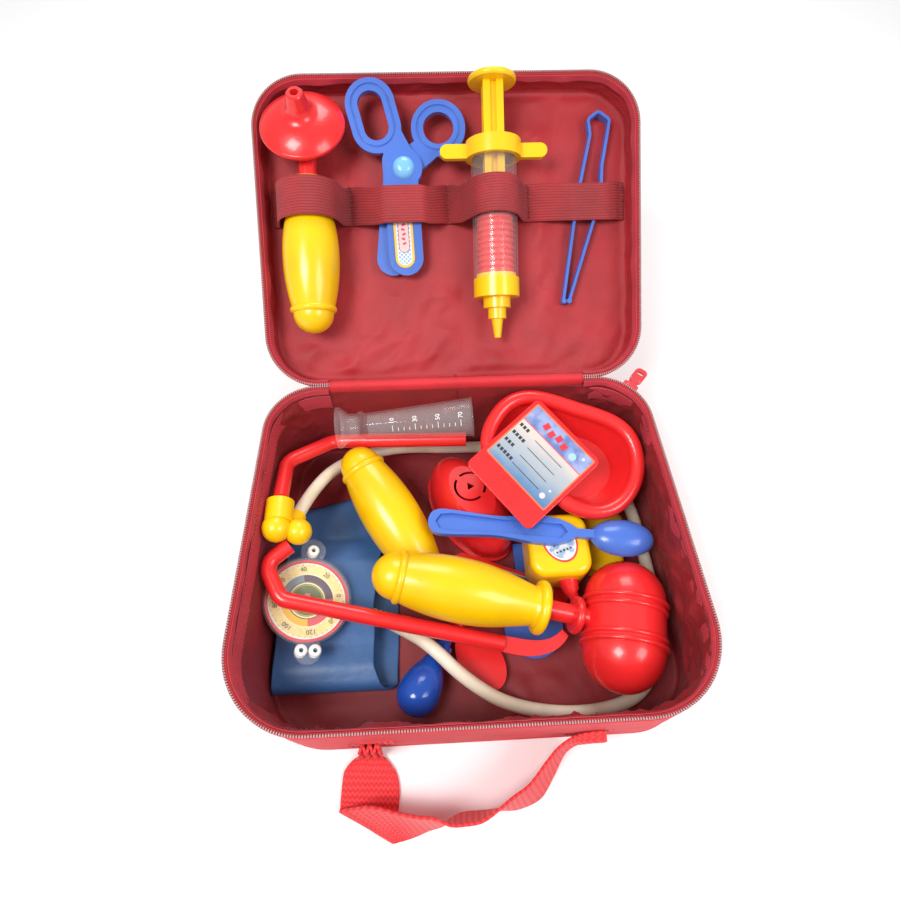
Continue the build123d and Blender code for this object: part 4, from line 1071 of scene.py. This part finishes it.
sew("base_zip_stitches", [rim_line_of(base_spot, RIM_SPAN, RIM_HEIGHT - 3.9, 0.36)], "base", dark_thread)
sew("lid_zip_stitches", [rim_line_of(lid_spot, LID_SPAN, -4.2, 0.36, in_lid)], "lid", dark_thread)
sew("seam_tape_stitches", [
    [(p, -out) for p, out in rim_line_of(base_spot, RIM_SPAN, height, -3.0)] for height in (77.4, 64.8)
], "base", dark_thread)
sew("corner_seam_stitches", [
    [(base_spot(place, h, -2.7), base_spot(place, h, -1) - base_spot(place, h, 0)) for h in range(12, 82, 5)]
    for place in ((HINGE_HALF + shift) / RIM_LENGTH * side for side in (-1, 1) for shift in (1.0, 5.0))
], "base", dark_thread)

# %% [markdown]
# ## The elastic strap
# One band of ribbed elastic crosses the lid. It is sewn down between the toys and pulled tight over each of
# them, so between two seams it takes the shortest way over the toy: straight, round it and straight down.

# %% Path of the strap
STRAP_V = 124.0
STRAP_WIDTH = 27.5
STRAP_THICK = 1.3
BED = LID_BED + 0.15


def bumps(middle, height, radius, spread=170):
    """Points round the upper side of a round toy."""
    return [
        (middle + radius * cos(radians(a)), height + radius * sin(radians(a)))
        for a in range(spread, 180 - spread - 1, -8)
    ]


def over(left, right, toy):
    """The shortest way from one seam over a toy to the next: the upper hull of the points."""
    hull = []
    for p in sorted([(left, BED)] + toy + [(right, BED)]):
        while len(hull) > 1:
            (ax, ay), (bx, by) = hull[-2], hull[-1]
            if (bx - ax) * (p[1] - ay) - (by - ay) * (p[0] - ax) < 0:
                break
            hull.pop()
        hull.append(p)
    return hull


strap_path = [(-126.5, BED + 0.1)]
strap_path += over(-121.5, -72.0, bumps(-98.0, -1.6, 20.6))
strap_path += over(-70.0, -2.0, [(-46.5, BED + 17.9), (-19.5, BED + 17.9)])
strap_path += over(0.0, 56.0, bumps(30.4, 0.2, 16.4))
strap_path += over(58.0, 124.0, [(88.0, BED + 7.9), (114.0, BED + 7.9)])
strap_path.append((127.6, BED + 0.1))


def softened(points, rounds=3, share=0.22):
    """The line with its corners cut, round after round."""
    for unused in range(rounds):
        made = [points[0]]
        for (ax, ay), (bx, by) in zip(points, points[1:]):
            reach = min(share, 1.6 / max(1.6, hypot(bx - ax, by - ay)))
            made.append((ax + (bx - ax) * reach, ay + (by - ay) * reach))
            made.append((bx - (bx - ax) * reach, by - (by - ay) * reach))
        points = made + [points[-1]]
    return points


strap_path = softened(strap_path)
strap_runs = [hypot(b[0] - a[0], b[1] - a[1]) for a, b in zip(strap_path, strap_path[1:])]
STRAP_LENGTH = sum(strap_runs)
print("the strap is", round(STRAP_LENGTH), "mm long between its ends")

# %% Strap finish and mesh
ELASTIC_RED = (0.27, 0.006, 0.010)


def elastic_finish():
    """Rubber cores wrapped in thread: ribs along the band and fine wraps across it, with painted shade in the grooves
    and a painted highlight on the wraps.
    """
    made = Finish("elastic", ELASTIC_RED, 0.6, Sheen_Weight=0.12)
    u, v, unused = made.split(made.cloth())
    ribs = (v * (2 * pi * 14 / (STRAP_WIDTH * MM))).math("COSINE") * 0.5 + 0.5
    wraps = (u * (2 * pi / (0.62 * MM)) + v * (2 * pi / (2.3 * MM))).math("SINE") * 0.5 + 0.5
    wear = made.noise(made.place(), 35.0, 3.0)
    tone = made.blend(made.smooth(wear, 0.3, 0.7), shade(ELASTIC_RED, 0.82), shade(ELASTIC_RED, 1.25))
    # Painted shade: the grooves between the ribs are painted much darker.
    lit = made.blend(made.smooth(ribs, 0.1, 0.9), shade(ELASTIC_RED, 0.42), tone)
    # Painted highlight: the wraps on top of the ribs are painted lighter.
    made.paint("Base Color", made.blend(wraps * ribs * 0.25, lit, (0.62, 0.07, 0.08)))
    made.paint("Roughness", 0.66 - 0.16 * ribs)
    made.bump(wraps * 0.4 + ribs * 0.5, 0.0003, 0.7)
    return made.material


def strap_rule(u, v):
    want = u * STRAP_LENGTH
    i = 0
    while want > strap_runs[i] and i < len(strap_runs) - 1:
        want -= strap_runs[i]
        i += 1
    (ax, ay), (bx, by) = strap_path[i], strap_path[i + 1]
    share = min(1.0, want / strap_runs[i])
    nx, ny = -(by - ay) / strap_runs[i], (bx - ax) / strap_runs[i]
    lift = 0.28 * cos(2 * pi * 14 * v) + 0.15 * wave(u * 250, v * 30, 1.0, 14)
    x, w = ax + (bx - ax) * share + nx * lift, ay + (by - ay) * share + ny * lift
    height = w - BED
    sag = 1.6 * ease(height, 2.0, 14.0) * (v - 0.5)
    pulled = 4.6 * (1 - ease(height, 0.0, 16.0))
    return Vector((x, STRAP_V + STRAP_WIDTH * (v - 0.5) - sag + pulled, w))


strap = lay_sheet(
    "elastic_strap_band", 330, 112, strap_rule, (STRAP_LENGTH, STRAP_WIDTH), thick=STRAP_THICK - 0.3,
    side=1.0, to=in_lid,
)
finish_piece(strap, "lid", elastic_finish(), "elastic", "elastic_strap")
sew("strap_stitches", [
    [(in_lid(Vector((x, STRAP_V + 4.6 + step, BED + 1.75))), LID_W) for step in range(-12, 14, 3)]
    for x in (-124.0, -71.6, -70.4, -1.6, -0.4, 56.4, 57.6, 126.0)
], "lid", dark_thread, length=2.6, gap=0.4, thick=0.6)

# %% [markdown]
# ## The carry handle
# One length of coarse webbing. It leaves its patch gathered into pleats, lies flat, is folded over on the slant
# and then stands on its edge in a lazy arc back to the other patch. It is drawn from pairs of edge points.

# %% Webbing
WEB_RED = (0.92, 0.032, 0.040)
WEB_WIDTH = 36.0


def webbing_finish():
    """Thick yarn in crosswise ribs, each rib a row of small chevrons, with painted shade between the ribs and a painted
    highlight on their tops.
    """
    made = Finish("webbing", WEB_RED, 0.62, Sheen_Weight=0.12, Sheen_Roughness=0.4)
    u, v, unused = made.split(made.cloth())
    tooth = ((v * (1 / 0.0029)).math("PINGPONG", 0.5)) * 0.9
    rib = ((u * (1 / 0.0036) + tooth) * (2 * pi)).math("COSINE") * 0.5 + 0.5
    yarn = ((v * (2 * pi / 0.00145)).math("COSINE")) * 0.5 + 0.5
    fluff = made.noise(made.place(), 900.0, 3.0)
    wear = made.noise(made.place(), 40.0, 3.0)
    height = rib * 0.75 + yarn * rib * 0.25
    tone = made.blend(made.smooth(wear, 0.3, 0.7), shade(WEB_RED, 0.85), shade(WEB_RED, 1.1))
    # Painted shade: the hollows between the ribs are painted darker.
    lit = made.blend(made.smooth(height, 0.05, 0.7), shade(WEB_RED, 0.72), tone)
    # Painted highlight: the tops of the ribs, with some fluff mixed in, are painted lighter.
    made.paint("Base Color", made.blend(made.smooth(height + 0.2 * fluff, 0.75, 1.1) * 0.3, lit, (0.95, 0.12, 0.11)))
    made.paint("Roughness", 0.72 - 0.14 * height)
    made.bump(height + 0.12 * fluff, 0.0005, 0.7)
    return made.material


webbing = webbing_finish()

# Each station is the upper edge, the lower edge and how deep the pleats are.
HANDLE_STATIONS = [
    ((-70.5, -118.4, 38.0), (-57.5, -118.4, 38.0), 2.5), ((-70.8, -118.4, 20.0), (-57.8, -118.4, 20.0), 2.5),
    ((-71.5, -118.8, 8.5), (-58.4, -118.8, 8.5), 2.2), ((-73.5, -120.2, 3.6), (-59.0, -120.6, 3.6), 1.4),
    ((-79.0, -123.4, 1.9), (-54.5, -124.8, 1.9), 0.5), ((-83.3, -128.6, 1.2), (-50.1, -131.4, 1.2), 0.1),
    ((-84.6, -137.7, 1.2), (-48.4, -139.6, 1.2), 0.0), ((-85.2, -145.6, 1.2), (-48.8, -150.0, 1.2), 0.0),
    ((-85.3, -148.4, 1.2), (-50.6, -160.0, 1.2), 0.0), ((-85.6, -149.9, 2.2), (-52.8, -167.4, 1.2), 0.0),
    ((-84.8, -150.2, 4.2), (-52.0, -168.6, 3.0), 0.0), ((-78.5, -149.2, 9.5), (-49.4, -168.5, 3.6), 0.0),
    ((-63.6, -148.6, 24.6), (-45.8, -167.6, 2.6), 0.0), ((-48.5, -152.1, 32.1), (-38.8, -165.8, 1.5), 0.0),
    ((-37.4, -154.6, 34.7), (-30.5, -163.1, 1.5), 0.0), ((-26.4, -156.1, 35.9), (-22.1, -161.2, 1.5), 0.0),
    ((-17.9, -159.6, 36.4), (-16.0, -157.9, 1.5), 0.0), ((-10.2, -160.0, 36.2), (-8.8, -155.4, 1.5), 0.0),
    ((0.8, -158.7, 36.2), (3.2, -155.1, 1.5), 0.0), ((11.2, -153.0, 36.3), (14.6, -154.6, 1.5), 0.0),
    ((19.6, -147.7, 35.2), (26.1, -154.4, 1.5), 0.0), ((30.5, -141.4, 34.2), (39.9, -149.4, 1.5), 0.0),
    ((42.0, -129.9, 35.2), (49.2, -138.1, 2.0), 0.0), ((48.7, -123.9, 35.8), (57.4, -126.5, 3.0), 0.2),
    ((56.8, -119.8, 39.5), (64.4, -120.4, 9.0), 0.9), ((64.6, -118.6, 45.0), (70.0, -118.8, 20.0), 1.9),
    ((77.0, -118.4, 47.0), (79.0, -118.4, 25.0), 2.4),
]


def curve_through(points, t):
    """A smooth curve through points, at share t of them."""
    reach = t * (len(points) - 1)
    i = min(int(reach), len(points) - 2)
    s = reach - i
    p0, p1, p2, p3 = (points[min(max(i + k, 0), len(points) - 1)] for k in (-1, 0, 1, 2))
    return [
        0.5 * (2 * b + (c - a) * s + (2 * a - 5 * b + 4 * c - d) * s * s + (3 * b - a - 3 * c + d) * s ** 3)
        for a, b, c, d in zip(p0, p1, p2, p3)
    ]


flat_stations = [(*a, *b, c) for a, b, c in HANDLE_STATIONS]
middles = [[(a[i] + b[i]) / 2 for i in range(3)] for a, b, c in HANDLE_STATIONS]
middle_runs = [max(2.0, (Vector(b) - Vector(a)).length) for a, b in zip(middles, middles[1:])]
WEB_LENGTH = sum(middle_runs)


def web_rule(u, v):
    want, i = u * WEB_LENGTH, 0
    while want > middle_runs[i] and i < len(middle_runs) - 1:
        want -= middle_runs[i]
        i += 1
    t = (i + min(1.0, want / middle_runs[i])) / len(middle_runs)
    spot = curve_through(flat_stations, t)
    upper, lower, pleat = Vector(spot[:3]), Vector(spot[3:6]), max(0.0, spot[6])
    later = curve_through(flat_stations, min(1.0, t + 0.002))
    sooner = curve_through(flat_stations, max(0.0, t - 0.002))
    ahead = Vector([later[k] + later[k + 3] - sooner[k] - sooner[k + 3] for k in range(3)]).normalized()
    across = lower - upper
    out = ahead.cross(across).normalized()
    fold = pleat * cos(2 * pi * 3 * v) + 0.5 * sin(pi * v) * wave(u * 260, v * 20, 3.0, 16.0)
    return upper + across * v + out * fold


handle = lay_sheet("carry_webbing", 620, 40, web_rule, (WEB_LENGTH, WEB_WIDTH), thick=1.7, side=0.0)
finish_piece(handle, "handle", webbing, "webbing", "carry_handle")
print("the webbing is", round(WEB_LENGTH), "mm long between its patches")

# %% Patches under the ends of the handle


def patch(name, middle, node):
    """A folded end of webbing, sewn flat on the front wall, with stitches round it."""
    corners = ((-15, -7.5), (15, -7.5), (15, 7.5), (-15, 7.5), (-15, -7.5))

    def rule(u, v):
        x, h = (u - 0.5) * 30, 34 + (v - 0.5) * 15
        return Vector((middle + x, -115.0 + 2.0 * h / WALL_TOP - 0.15, h))
    piece = lay_sheet(name, 40, 20, rule, (30, 15), thick=1.2, side=1.0)
    finish_piece(piece, "base", webbing, "webbing", node)
    lines = [
        [(Vector((middle + x * 0.86, -115.0 + 2.0 * (34 + h * 0.8) / WALL_TOP - 1.5, 34 + h * 0.8)), Vector((0, -1, 0)))
         for x, h in pair] for pair in zip(corners, corners[1:])
    ]
    sew(name + "_stitches", lines, "base", dark_thread, thick=0.5)


patch("handle_patch_left", -64.0, "handle_tab_left")
patch("handle_patch_right", 68.0, "handle_tab_right")

# %% [markdown]
# ## The cuff
# The play cuff is a loop of soft vinyl that has been pressed flat. It is one sheet, closed round from front to
# back, with a pale welded edge at each open end.

# %% Cuff of the gauge
CUFF_BLUE = (0.032, 0.110, 0.290)
CUFF_LOOP = softened([
    (-10, 4.1), (64, 4.1), (66, 7.3), (62, 10.5), (26, 10.7), (4, 19.5), (-12, 20.9), (-68, 20.9),
    (-80, 17.0), (-83, 11.1), (-79, 4.1), (-10, 4.1),
], 2, 0.25)
CUFF_ROUND = sum(hypot(b[0] - a[0], b[1] - a[1]) for a, b in zip(CUFF_LOOP, CUFF_LOOP[1:]))


def vinyl(name, color):
    made = Finish(name, color, 0.36, Coat_Weight=0.2, Coat_Roughness=0.3)
    flat = made.place()
    cloud = made.noise(flat, 30.0, 4.0)
    crease = made.noise(flat, 55.0, 3.0, 0.7)
    grain = made.noise(flat, 1500.0, 2.0)
    made.paint("Base Color", made.blend(made.smooth(cloud, 0.3, 0.7), shade(color, 0.86), shade(color, 1.15)))
    made.paint("Roughness", 0.34 + 0.16 * cloud + 0.05 * grain)
    made.bump(crease + 0.05 * grain, 0.0009, 0.6)
    return made.material


def cuff_rule(u, v):
    y, z = walk(CUFF_LOOP, v)
    left = -123.4 - 7 * (70 - y) / 156 + 0.4 * wave(y, z, 4.0, 9.0)
    right = -46 - 19 * (z - 2.1) / 20.9 + 1.2 * wave(y, z, 9.0, 16.0)
    x = left + (right - left) * u
    y -= 17.0 * (1 - u) * ease(y, 18.0, 64.0)
    top = ease(z, 9.0, 12.0)
    ripple = -0.55 * top * (0.5 + 0.5 * wave(x, y, 2.0, 22.0)) * (1 - ease(-abs(y + 25), -30.0, -20.0))
    return Vector((x, y, z + ripple))


cuff = lay_sheet("vinyl_cuff", 90, 230, cuff_rule, (78.0, CUFF_ROUND), closed=True, flip=True)
thicken(cuff, 1.4, -1.0, rim_slot=1)
for face in cuff.data.polygons:
    face.use_smooth = True
finish_piece(cuff, "base", vinyl("cuff_vinyl", CUFF_BLUE), "cuff_vinyl", "cuff")
cuff.data.materials.append(vinyl("cuff_edge", (0.16, 0.42, 0.72)))

# %% [markdown]
# ## Printed faces
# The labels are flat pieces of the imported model. Their print is painted by place, in millimetres across and up
# from the middle of each label. Only plain bands, lines and dots are shown.

# %% Gauge dial
DIAL_MIDDLE = Vector((-106.0, -27.0, 38.0))
DIAL_ACROSS = Vector((cos(radians(18)), 0, -sin(radians(18))))
DIAL_UP = Vector((0, 1, 0))


def dial_finish():
    """A target of rings, with coloured segments that show ranges."""
    made = Finish("dial_card", (0.9, 0.75, 0.3), 0.35, Coat_Weight=0.3)
    x, y = made.local(DIAL_MIDDLE * MM, DIAL_ACROSS, DIAL_UP)
    far = (x * x + y * y).math("SQRT")
    angle = y.math("ARCTAN2", x)
    fibre = made.noise(made.place(), 500.0, 3.0)
    pale = made.blend(made.smooth(fibre, 0.3, 0.7), (0.95, 0.72, 0.22), (0.97, 0.80, 0.36))
    ring = made.blend(made.band(angle, 1.75, 3.2, 0.01), (0.72, 0.07, 0.09), (0.18, 0.25, 0.30))
    ring = made.blend(made.band(angle, 0.1, 1.75, 0.01), ring, (0.075, 0.025, 0.060))
    ring = made.blend(made.band(angle, -2.9, -1.5, 0.01), ring, (0.85, 0.52, 0.012))
    ring = made.blend(made.band(angle, -3.2, -2.9, 0.01), ring, (0.18, 0.25, 0.30))
    tone = made.blend(made.band(far, 12.6, 17.2), pale, ring)
    tone = made.blend(made.band(far, 17.2, 17.9), tone, (0.90, 0.84, 0.62))
    tone = made.blend(made.band(far, 11.9, 12.6), tone, (0.05, 0.05, 0.03))
    tone = made.blend(made.band(far, 10.9, 11.9), tone, (0.86, 0.80, 0.52))
    tone = made.blend(made.band(far, -1.0, 10.9), tone, (0.115, 0.165, 0.030))
    tone = made.blend(made.band(far, 10.0, 10.4), tone, (0.70, 0.55, 0.03))
    tone = made.blend(made.band(far, 24.2, 60.0), tone, (0.88, 0.86, 0.78))
    bar = made.band(x.math("ABSOLUTE"), -1, 1.7) * made.band(y.math("ABSOLUTE"), -1, 4.6)
    arm = made.band(y.math("ABSOLUTE"), -1, 1.7) * made.band(x.math("ABSOLUTE"), -1, 4.6)
    made.paint("Base Color", made.blend(bar.math("MAXIMUM", arm), tone, (0.80, 0.26, 0.27)))
    made.paint("Roughness", 0.3 + 0.12 * fibre)
    made.bump(fibre, 0.00008, 0.5)
    return made.material


dress("gauge_dial", dial_finish())


def print_finish(name, color):
    """Ink with a slightly rough, uneven cover."""
    made = Finish(name, color, 0.4)
    grain = made.noise(made.place(), 1800.0, 2.0)
    made.paint("Base Color", made.blend(made.smooth(grain, 0.4, 0.8), color, tuple(c * 0.85 + 0.02 for c in color)))
    made.paint("Roughness", 0.35 + 0.2 * grain)
    return made.material


dark_ink = print_finish("dark_ink", (0.03, 0.03, 0.035))
white_ink = print_finish("white_ink", (0.9, 0.9, 0.88))


def printed(name, items, spot_at, body, ink, slot, lift=0.1):
    """Plain marks as one thin piece. An item is (x, y, width, height, turn) for a bar,
    or (x, y, size, turn, figures) for a number. spot_at(x, y, rise) places a point, in millimetres."""
    points, faces = [], []
    for item in items:
        if isinstance(item[-1], str):
            x, y, size, turned, figures = item
            bpy.ops.object.select_all(action="DESELECT")
            bpy.ops.object.text_add()
            made = bpy.context.object
            made.data.body = figures
            made.data.size = size
            made.data.align_x = "CENTER"
            made.data.align_y = "CENTER"
            made.data.resolution_u = 3
            bpy.ops.object.convert(target="MESH")
            made = bpy.context.object
            shape = [(p.co.x, p.co.y) for p in made.data.vertices]
            sides = [tuple(face.vertices) for face in made.data.polygons]
            bpy.data.objects.remove(made)
        else:
            x, y, wide, tall, turned = item
            shape = [(-wide / 2, -tall / 2), (wide / 2, -tall / 2), (wide / 2, tall / 2), (-wide / 2, tall / 2)]
            sides = [(0, 1, 2, 3)]
        c, s = cos(radians(turned)), sin(radians(turned))
        first = len(points)
        points += [spot_at(x + a * c - b * s, y + a * s + b * c, lift) * MM for a, b in shape]
        faces += [tuple(first + k for k in side) for side in sides]
    mesh = bpy.data.meshes.new(name)
    mesh.from_pydata(points, [], faces)
    piece = bpy.data.objects.new(name, mesh)
    bpy.context.scene.collection.objects.link(piece)
    thicken(piece, 0.05, 1.0)
    return finish_piece(piece, body, ink, slot)


def on_plane(middle, across, up):
    """Places for printed() on a flat face."""
    out = across.cross(up)

    def spot_at(x, y, rise):
        return middle + across * x + up * y + out * rise
    return spot_at


on_dial = on_plane(DIAL_MIDDLE, DIAL_ACROSS, DIAL_UP)
dial_items = []
for step in range(8):
    a = radians(45 * step + 10)
    dial_items.append((20.9 * cos(a), 20.9 * sin(a), 4.4, 45 * step - 80, str(step * 20)))
for step in range(40):
    a = radians(9 * step)
    dial_items.append((24.0 * cos(a), 24.0 * sin(a), 0.8, 0.25, 9 * step))
printed("dial_figures", dial_items, on_dial, "dial", dark_ink, "dial_card", 0.12)

# %% Name card
CARD_MIDDLE = Vector((54.86, 55.71, 72.63))
CARD_ACROSS = Vector((0.6428, -0.7399, -0.1983))
CARD_UP = Vector((0.7660, 0.6209, 0.1664))


def spot_in(made, x, y, middle, radius):
    """1 inside a circle."""
    a, b = x - middle[0], y - middle[1]
    return made.band((a * a + b * b).math("SQRT"), -9.0, radius, 0.25)


def card_finish():
    """A blue header over a pale field that fades to blue, with a thin orange border."""
    made = Finish("card_label", (0.8, 0.75, 0.7), 0.32, Coat_Weight=0.4, Coat_Roughness=0.1)
    x, y = made.local(CARD_MIDDLE * MM, CARD_ACROSS, CARD_UP)
    grain = made.noise(made.place(), 900.0, 2.0)
    cloud = made.noise(made.place(), 90.0, 3.0)
    fade = y - x * 0.12 + cloud * 9.0
    field = made.blend(made.smooth(fade, -26.0, 2.0), (0.055, 0.19, 0.40), (0.42, 0.46, 0.50))
    field = made.blend(made.smooth(fade, 0.0, 15.0), field, (0.68, 0.58, 0.53))
    header = made.blend(made.smooth(cloud, 0.35, 0.65), (0.125, 0.190, 0.46), (0.34, 0.40, 0.66))
    tone = made.blend(made.smooth(y, 10.4, 10.8), field, header)
    tone = made.blend(made.band(y, 10.0, 10.8), tone, (0.72, 0.12, 0.12))
    tone = made.blend(spot_in(made, x, y, (15.0, 15.6), 2.7), tone, (0.36, 0.62, 0.86))
    tone = made.blend(spot_in(made, x, y, (21.5, 20.0), 1.0), tone, (0.70, 0.85, 0.95))
    tone = made.blend(spot_in(made, x, y, (20.0, -18.5), 2.0), tone, (0.86, 0.68, 0.76))
    tone = made.blend(spot_in(made, x, y, (21.5, -12.5), 0.8), tone, (0.80, 0.85, 0.95))
    edge = (x.math("ABSOLUTE") - 28.3).math("MAXIMUM", y.math("ABSOLUTE") - 25.3)
    tone = made.blend(made.band(edge, -1.1, 9.0), tone, (0.86, 0.17, 0.06))
    made.paint("Base Color", tone)
    made.paint("Roughness", 0.28 + 0.12 * grain)
    made.bump(grain, 0.00005, 0.5)
    return made.material


dress("card_label", card_finish())
on_card = on_plane(CARD_MIDDLE, CARD_ACROSS, CARD_UP)
rows = (6.0, -1.4, -8.8, -16.2)
words = []
for row, marks in zip(rows, (3, 4, 3, 5)):
    words += [(-25.0 + 3.0 * k, row, 2.1, 2.5, 0) for k in range(marks)]
    words.append((2.5, row - 1.2, 26.0, 0.45, 0))
printed("card_lines", words, on_card, "card", dark_ink, "label_film", 0.06)
printed(
    "card_header", [(-12.0 + 6.0 * k, 17.0 + 0.8 * (-1) ** k, 4.2, 5.0, -12) for k in range(4)], on_card, "card",
    print_finish("header_ink", (0.70, 0.03, 0.05)), "label_film", 0.06,
)

# %% Labels on the scissors and on the ear scope
SCISSOR_MIDDLE = Vector((-34.0, 208.05, 136.93))
SCISSOR_UP = Vector((-0.0349, 0.8126, 0.5818))
SCISSOR_ACROSS = Vector((0.9994, 0.0284, 0.0203))


def scissor_finish():
    """A yellow border, a pink field and a small blue check near the tip."""
    made = Finish("scissor_label", (0.9, 0.6, 0.2), 0.3, Coat_Weight=0.4)
    x, y = made.local(SCISSOR_MIDDLE * MM, SCISSOR_ACROSS, SCISSOR_UP)
    grain = made.noise(made.place(), 900.0, 2.0)
    rest = (y.math("ABSOLUTE") - 20.8).math("MAXIMUM", 0.0)
    far = (x * x + rest * rest).math("SQRT")
    shift = y - 3.5
    rest = (shift.math("ABSOLUTE") - 17.0).math("MAXIMUM", 0.0)
    field = (x * x + rest * rest).math("SQRT")
    check = (x * 2.1).math("SINE") * (y * 2.1).math("SINE")
    tone = made.blend(made.smooth(check, -0.2, 0.3), (0.26, 0.42, 0.80), (0.85, 0.90, 0.98))
    tone = made.blend(made.band(field, -1.0, 3.9), tone, (0.28, 0.08, 0.10))
    tone = made.blend(made.band(field, -1.0, 3.4), tone, (0.90, 0.52, 0.52))
    tone = made.blend(made.band(far, 4.6, 5.3), tone, (0.86, 0.72, 0.62))
    tone = made.blend(made.band(far, 5.2, 20.0), tone, (0.86, 0.50, 0.07))
    made.paint("Base Color", tone)
    made.paint("Roughness", 0.28 + 0.12 * grain)
    made.bump(grain, 0.00005, 0.5)
    return made.material


dress("scissor_label", scissor_finish())
on_scissors = on_plane(SCISSOR_MIDDLE, SCISSOR_ACROSS, SCISSOR_UP)
printed(
    "scissor_dots", [(0.3 * (-1) ** k, -11.0 + 3.2 * k, 2.6, 1.5, 20 * (-1) ** k) for k in range(9)],
    on_scissors, "lid", print_finish("dot_ink", (0.62, 0.06, 0.08)), "label_film", 0.06,
)
EAR_MIDDLE = Vector((64.5, 3.0, 49.2))
EAR_ACROSS = Vector((cos(radians(18)), sin(radians(18)), 0))
EAR_UP = Vector((-sin(radians(18)), cos(radians(18)), 0))


def ear_finish():
    """An oval with a red border and a pale field with grey clouds."""
    made = Finish("ear_label", (0.8, 0.8, 0.8), 0.3, Coat_Weight=0.4)
    x, y = made.local(EAR_MIDDLE * MM, EAR_ACROSS, EAR_UP)
    cloud = made.noise(made.place(), 160.0, 3.0)
    far = ((x / 11.8) * (x / 11.8) + (y / 15.8) * (y / 15.8)).math("SQRT")
    field = made.blend(made.smooth(cloud, 0.42, 0.58), (0.30, 0.42, 0.62), (0.80, 0.78, 0.76))
    tone = made.blend(made.band(far, 0.90, 3.0, 0.02), field, (0.80, 0.06, 0.05))
    tone = made.blend(made.band(far, 0.84, 0.90, 0.02), tone, (0.88, 0.86, 0.82))
    made.paint("Base Color", tone)
    made.paint("Roughness", 0.28 + 0.12 * cloud)
    made.bump(cloud, 0.00005, 0.5)
    return made.material


dress("ear_label", ear_finish())
on_ear = on_plane(EAR_MIDDLE, EAR_ACROSS, EAR_UP)
printed("ear_marks", [
    (-5.0 + 2.5 * (k % 5), 7.5 - 5.0 * (k // 5), 1.3, 1.3, 0) for k in range(20)
], on_ear, "base", dark_ink, "label_film", 0.06)

# %% [markdown]
# ## The last fittings
# The zip's slider and its tab are cast metal with red enamel that has worn at the edges. The beaker has a white
# scale, and the stick's sunk face has a paler bar.

# %% Enamel, scale and stick


def enamel():
    made = Finish("red_enamel", (0.62, 0.03, 0.04), 0.3, Coat_Weight=0.5, Coat_Roughness=0.15)
    spot = made.place()
    chips = made.noise(spot, 380.0, 4.0)
    worn = made.smooth(chips, 0.66, 0.70)
    made.paint("Base Color", made.blend(worn, (0.62, 0.03, 0.04), (0.45, 0.42, 0.40)))
    made.paint("Metallic", worn)
    made.paint("Roughness", 0.26 + 0.2 * chips)
    made.bump(chips, 0.0001, 0.4)
    return made.material


enamelled = enamel()
dress("zip_slider", enamelled)
dress("zip_puller", enamelled)

BEAKER_FOOT = Vector((-66.4, 89.2, 65.4))
BEAKER_MOUTH = Vector((9.3, 91.6, 68.7))
BEAKER_RADII = (8.8, 13.6)
BEAKER_WAY = (BEAKER_MOUTH - BEAKER_FOOT).normalized()
TO_CAMERA = Vector((0.10, -0.48, 0.87)).normalized()
BEAKER_SIDE = TO_CAMERA.cross(BEAKER_WAY).normalized()
BEAKER_FRONT = BEAKER_WAY.cross(BEAKER_SIDE).normalized()


def on_beaker(x, y, rise):
    """x runs along the beaker from its foot, and y round it from the side that faces up."""
    radius = BEAKER_RADII[0] + (BEAKER_RADII[1] - BEAKER_RADII[0]) * x / 75.8 + rise
    a = y / radius
    return BEAKER_FOOT + BEAKER_WAY * x + (BEAKER_FRONT * cos(a) + BEAKER_SIDE * sin(a)) * radius


scale_items = []
for k in range(13):
    long = k % 4 == 0
    scale_items.append((20.0 + 4.0 * k, -4.0 if long else -4.8, 0.45, 4.4 if long else 2.6, 0))
    if long:
        scale_items.append((20.0 + 4.0 * k, 1.6, 4.4, 90, str(10 + 5 * k)))
printed("beaker_scale", scale_items, on_beaker, "base", white_ink, "clear_plastic", 0.1)

STICK_MIDDLE = Vector((32.78, -11.91, 14.2))
STICK_ALONG = Vector((0.9285, -0.3714, 0))
STICK_UP = Vector((0.3714, 0.9285, 0))


def stick_finish():
    """Red plastic with a paler sunk face and a dark line round it."""
    made = Finish("stick_print", RED, 0.24, Coat_Weight=0.35, Coat_Roughness=0.12)
    x, y = made.local(STICK_MIDDLE * MM, STICK_ALONG, STICK_UP)
    spot = made.place()
    unused, unused2, z = made.split(spot)
    cloud = made.noise(spot, 60.0, 3.0)
    rest = (x.math("ABSOLUTE") - 27.0).math("MAXIMUM", 0.0)
    far = (rest * rest + y * y).math("SQRT")
    sunk = made.band(z * 1000, 14.0, 14.4, 0.05)
    inner = made.band(far, -1.0, 4.6) * sunk
    line = made.band(far, 4.4, 5.4) * sunk
    tone = made.blend(made.smooth(cloud, 0.35, 0.7), RED, shade(RED, 0.86))
    tone = made.blend(inner, tone, (0.10, 0.20, 0.55))
    tone = made.blend(line, tone, (0.80, 0.72, 0.70))
    made.paint("Base Color", tone)
    made.paint("Roughness", 0.24 + 0.1 * cloud)
    made.bump(made.noise(spot, 420.0, 1.0), 0.0001, 0.5)
    return made.material


dress("stick", stick_finish())
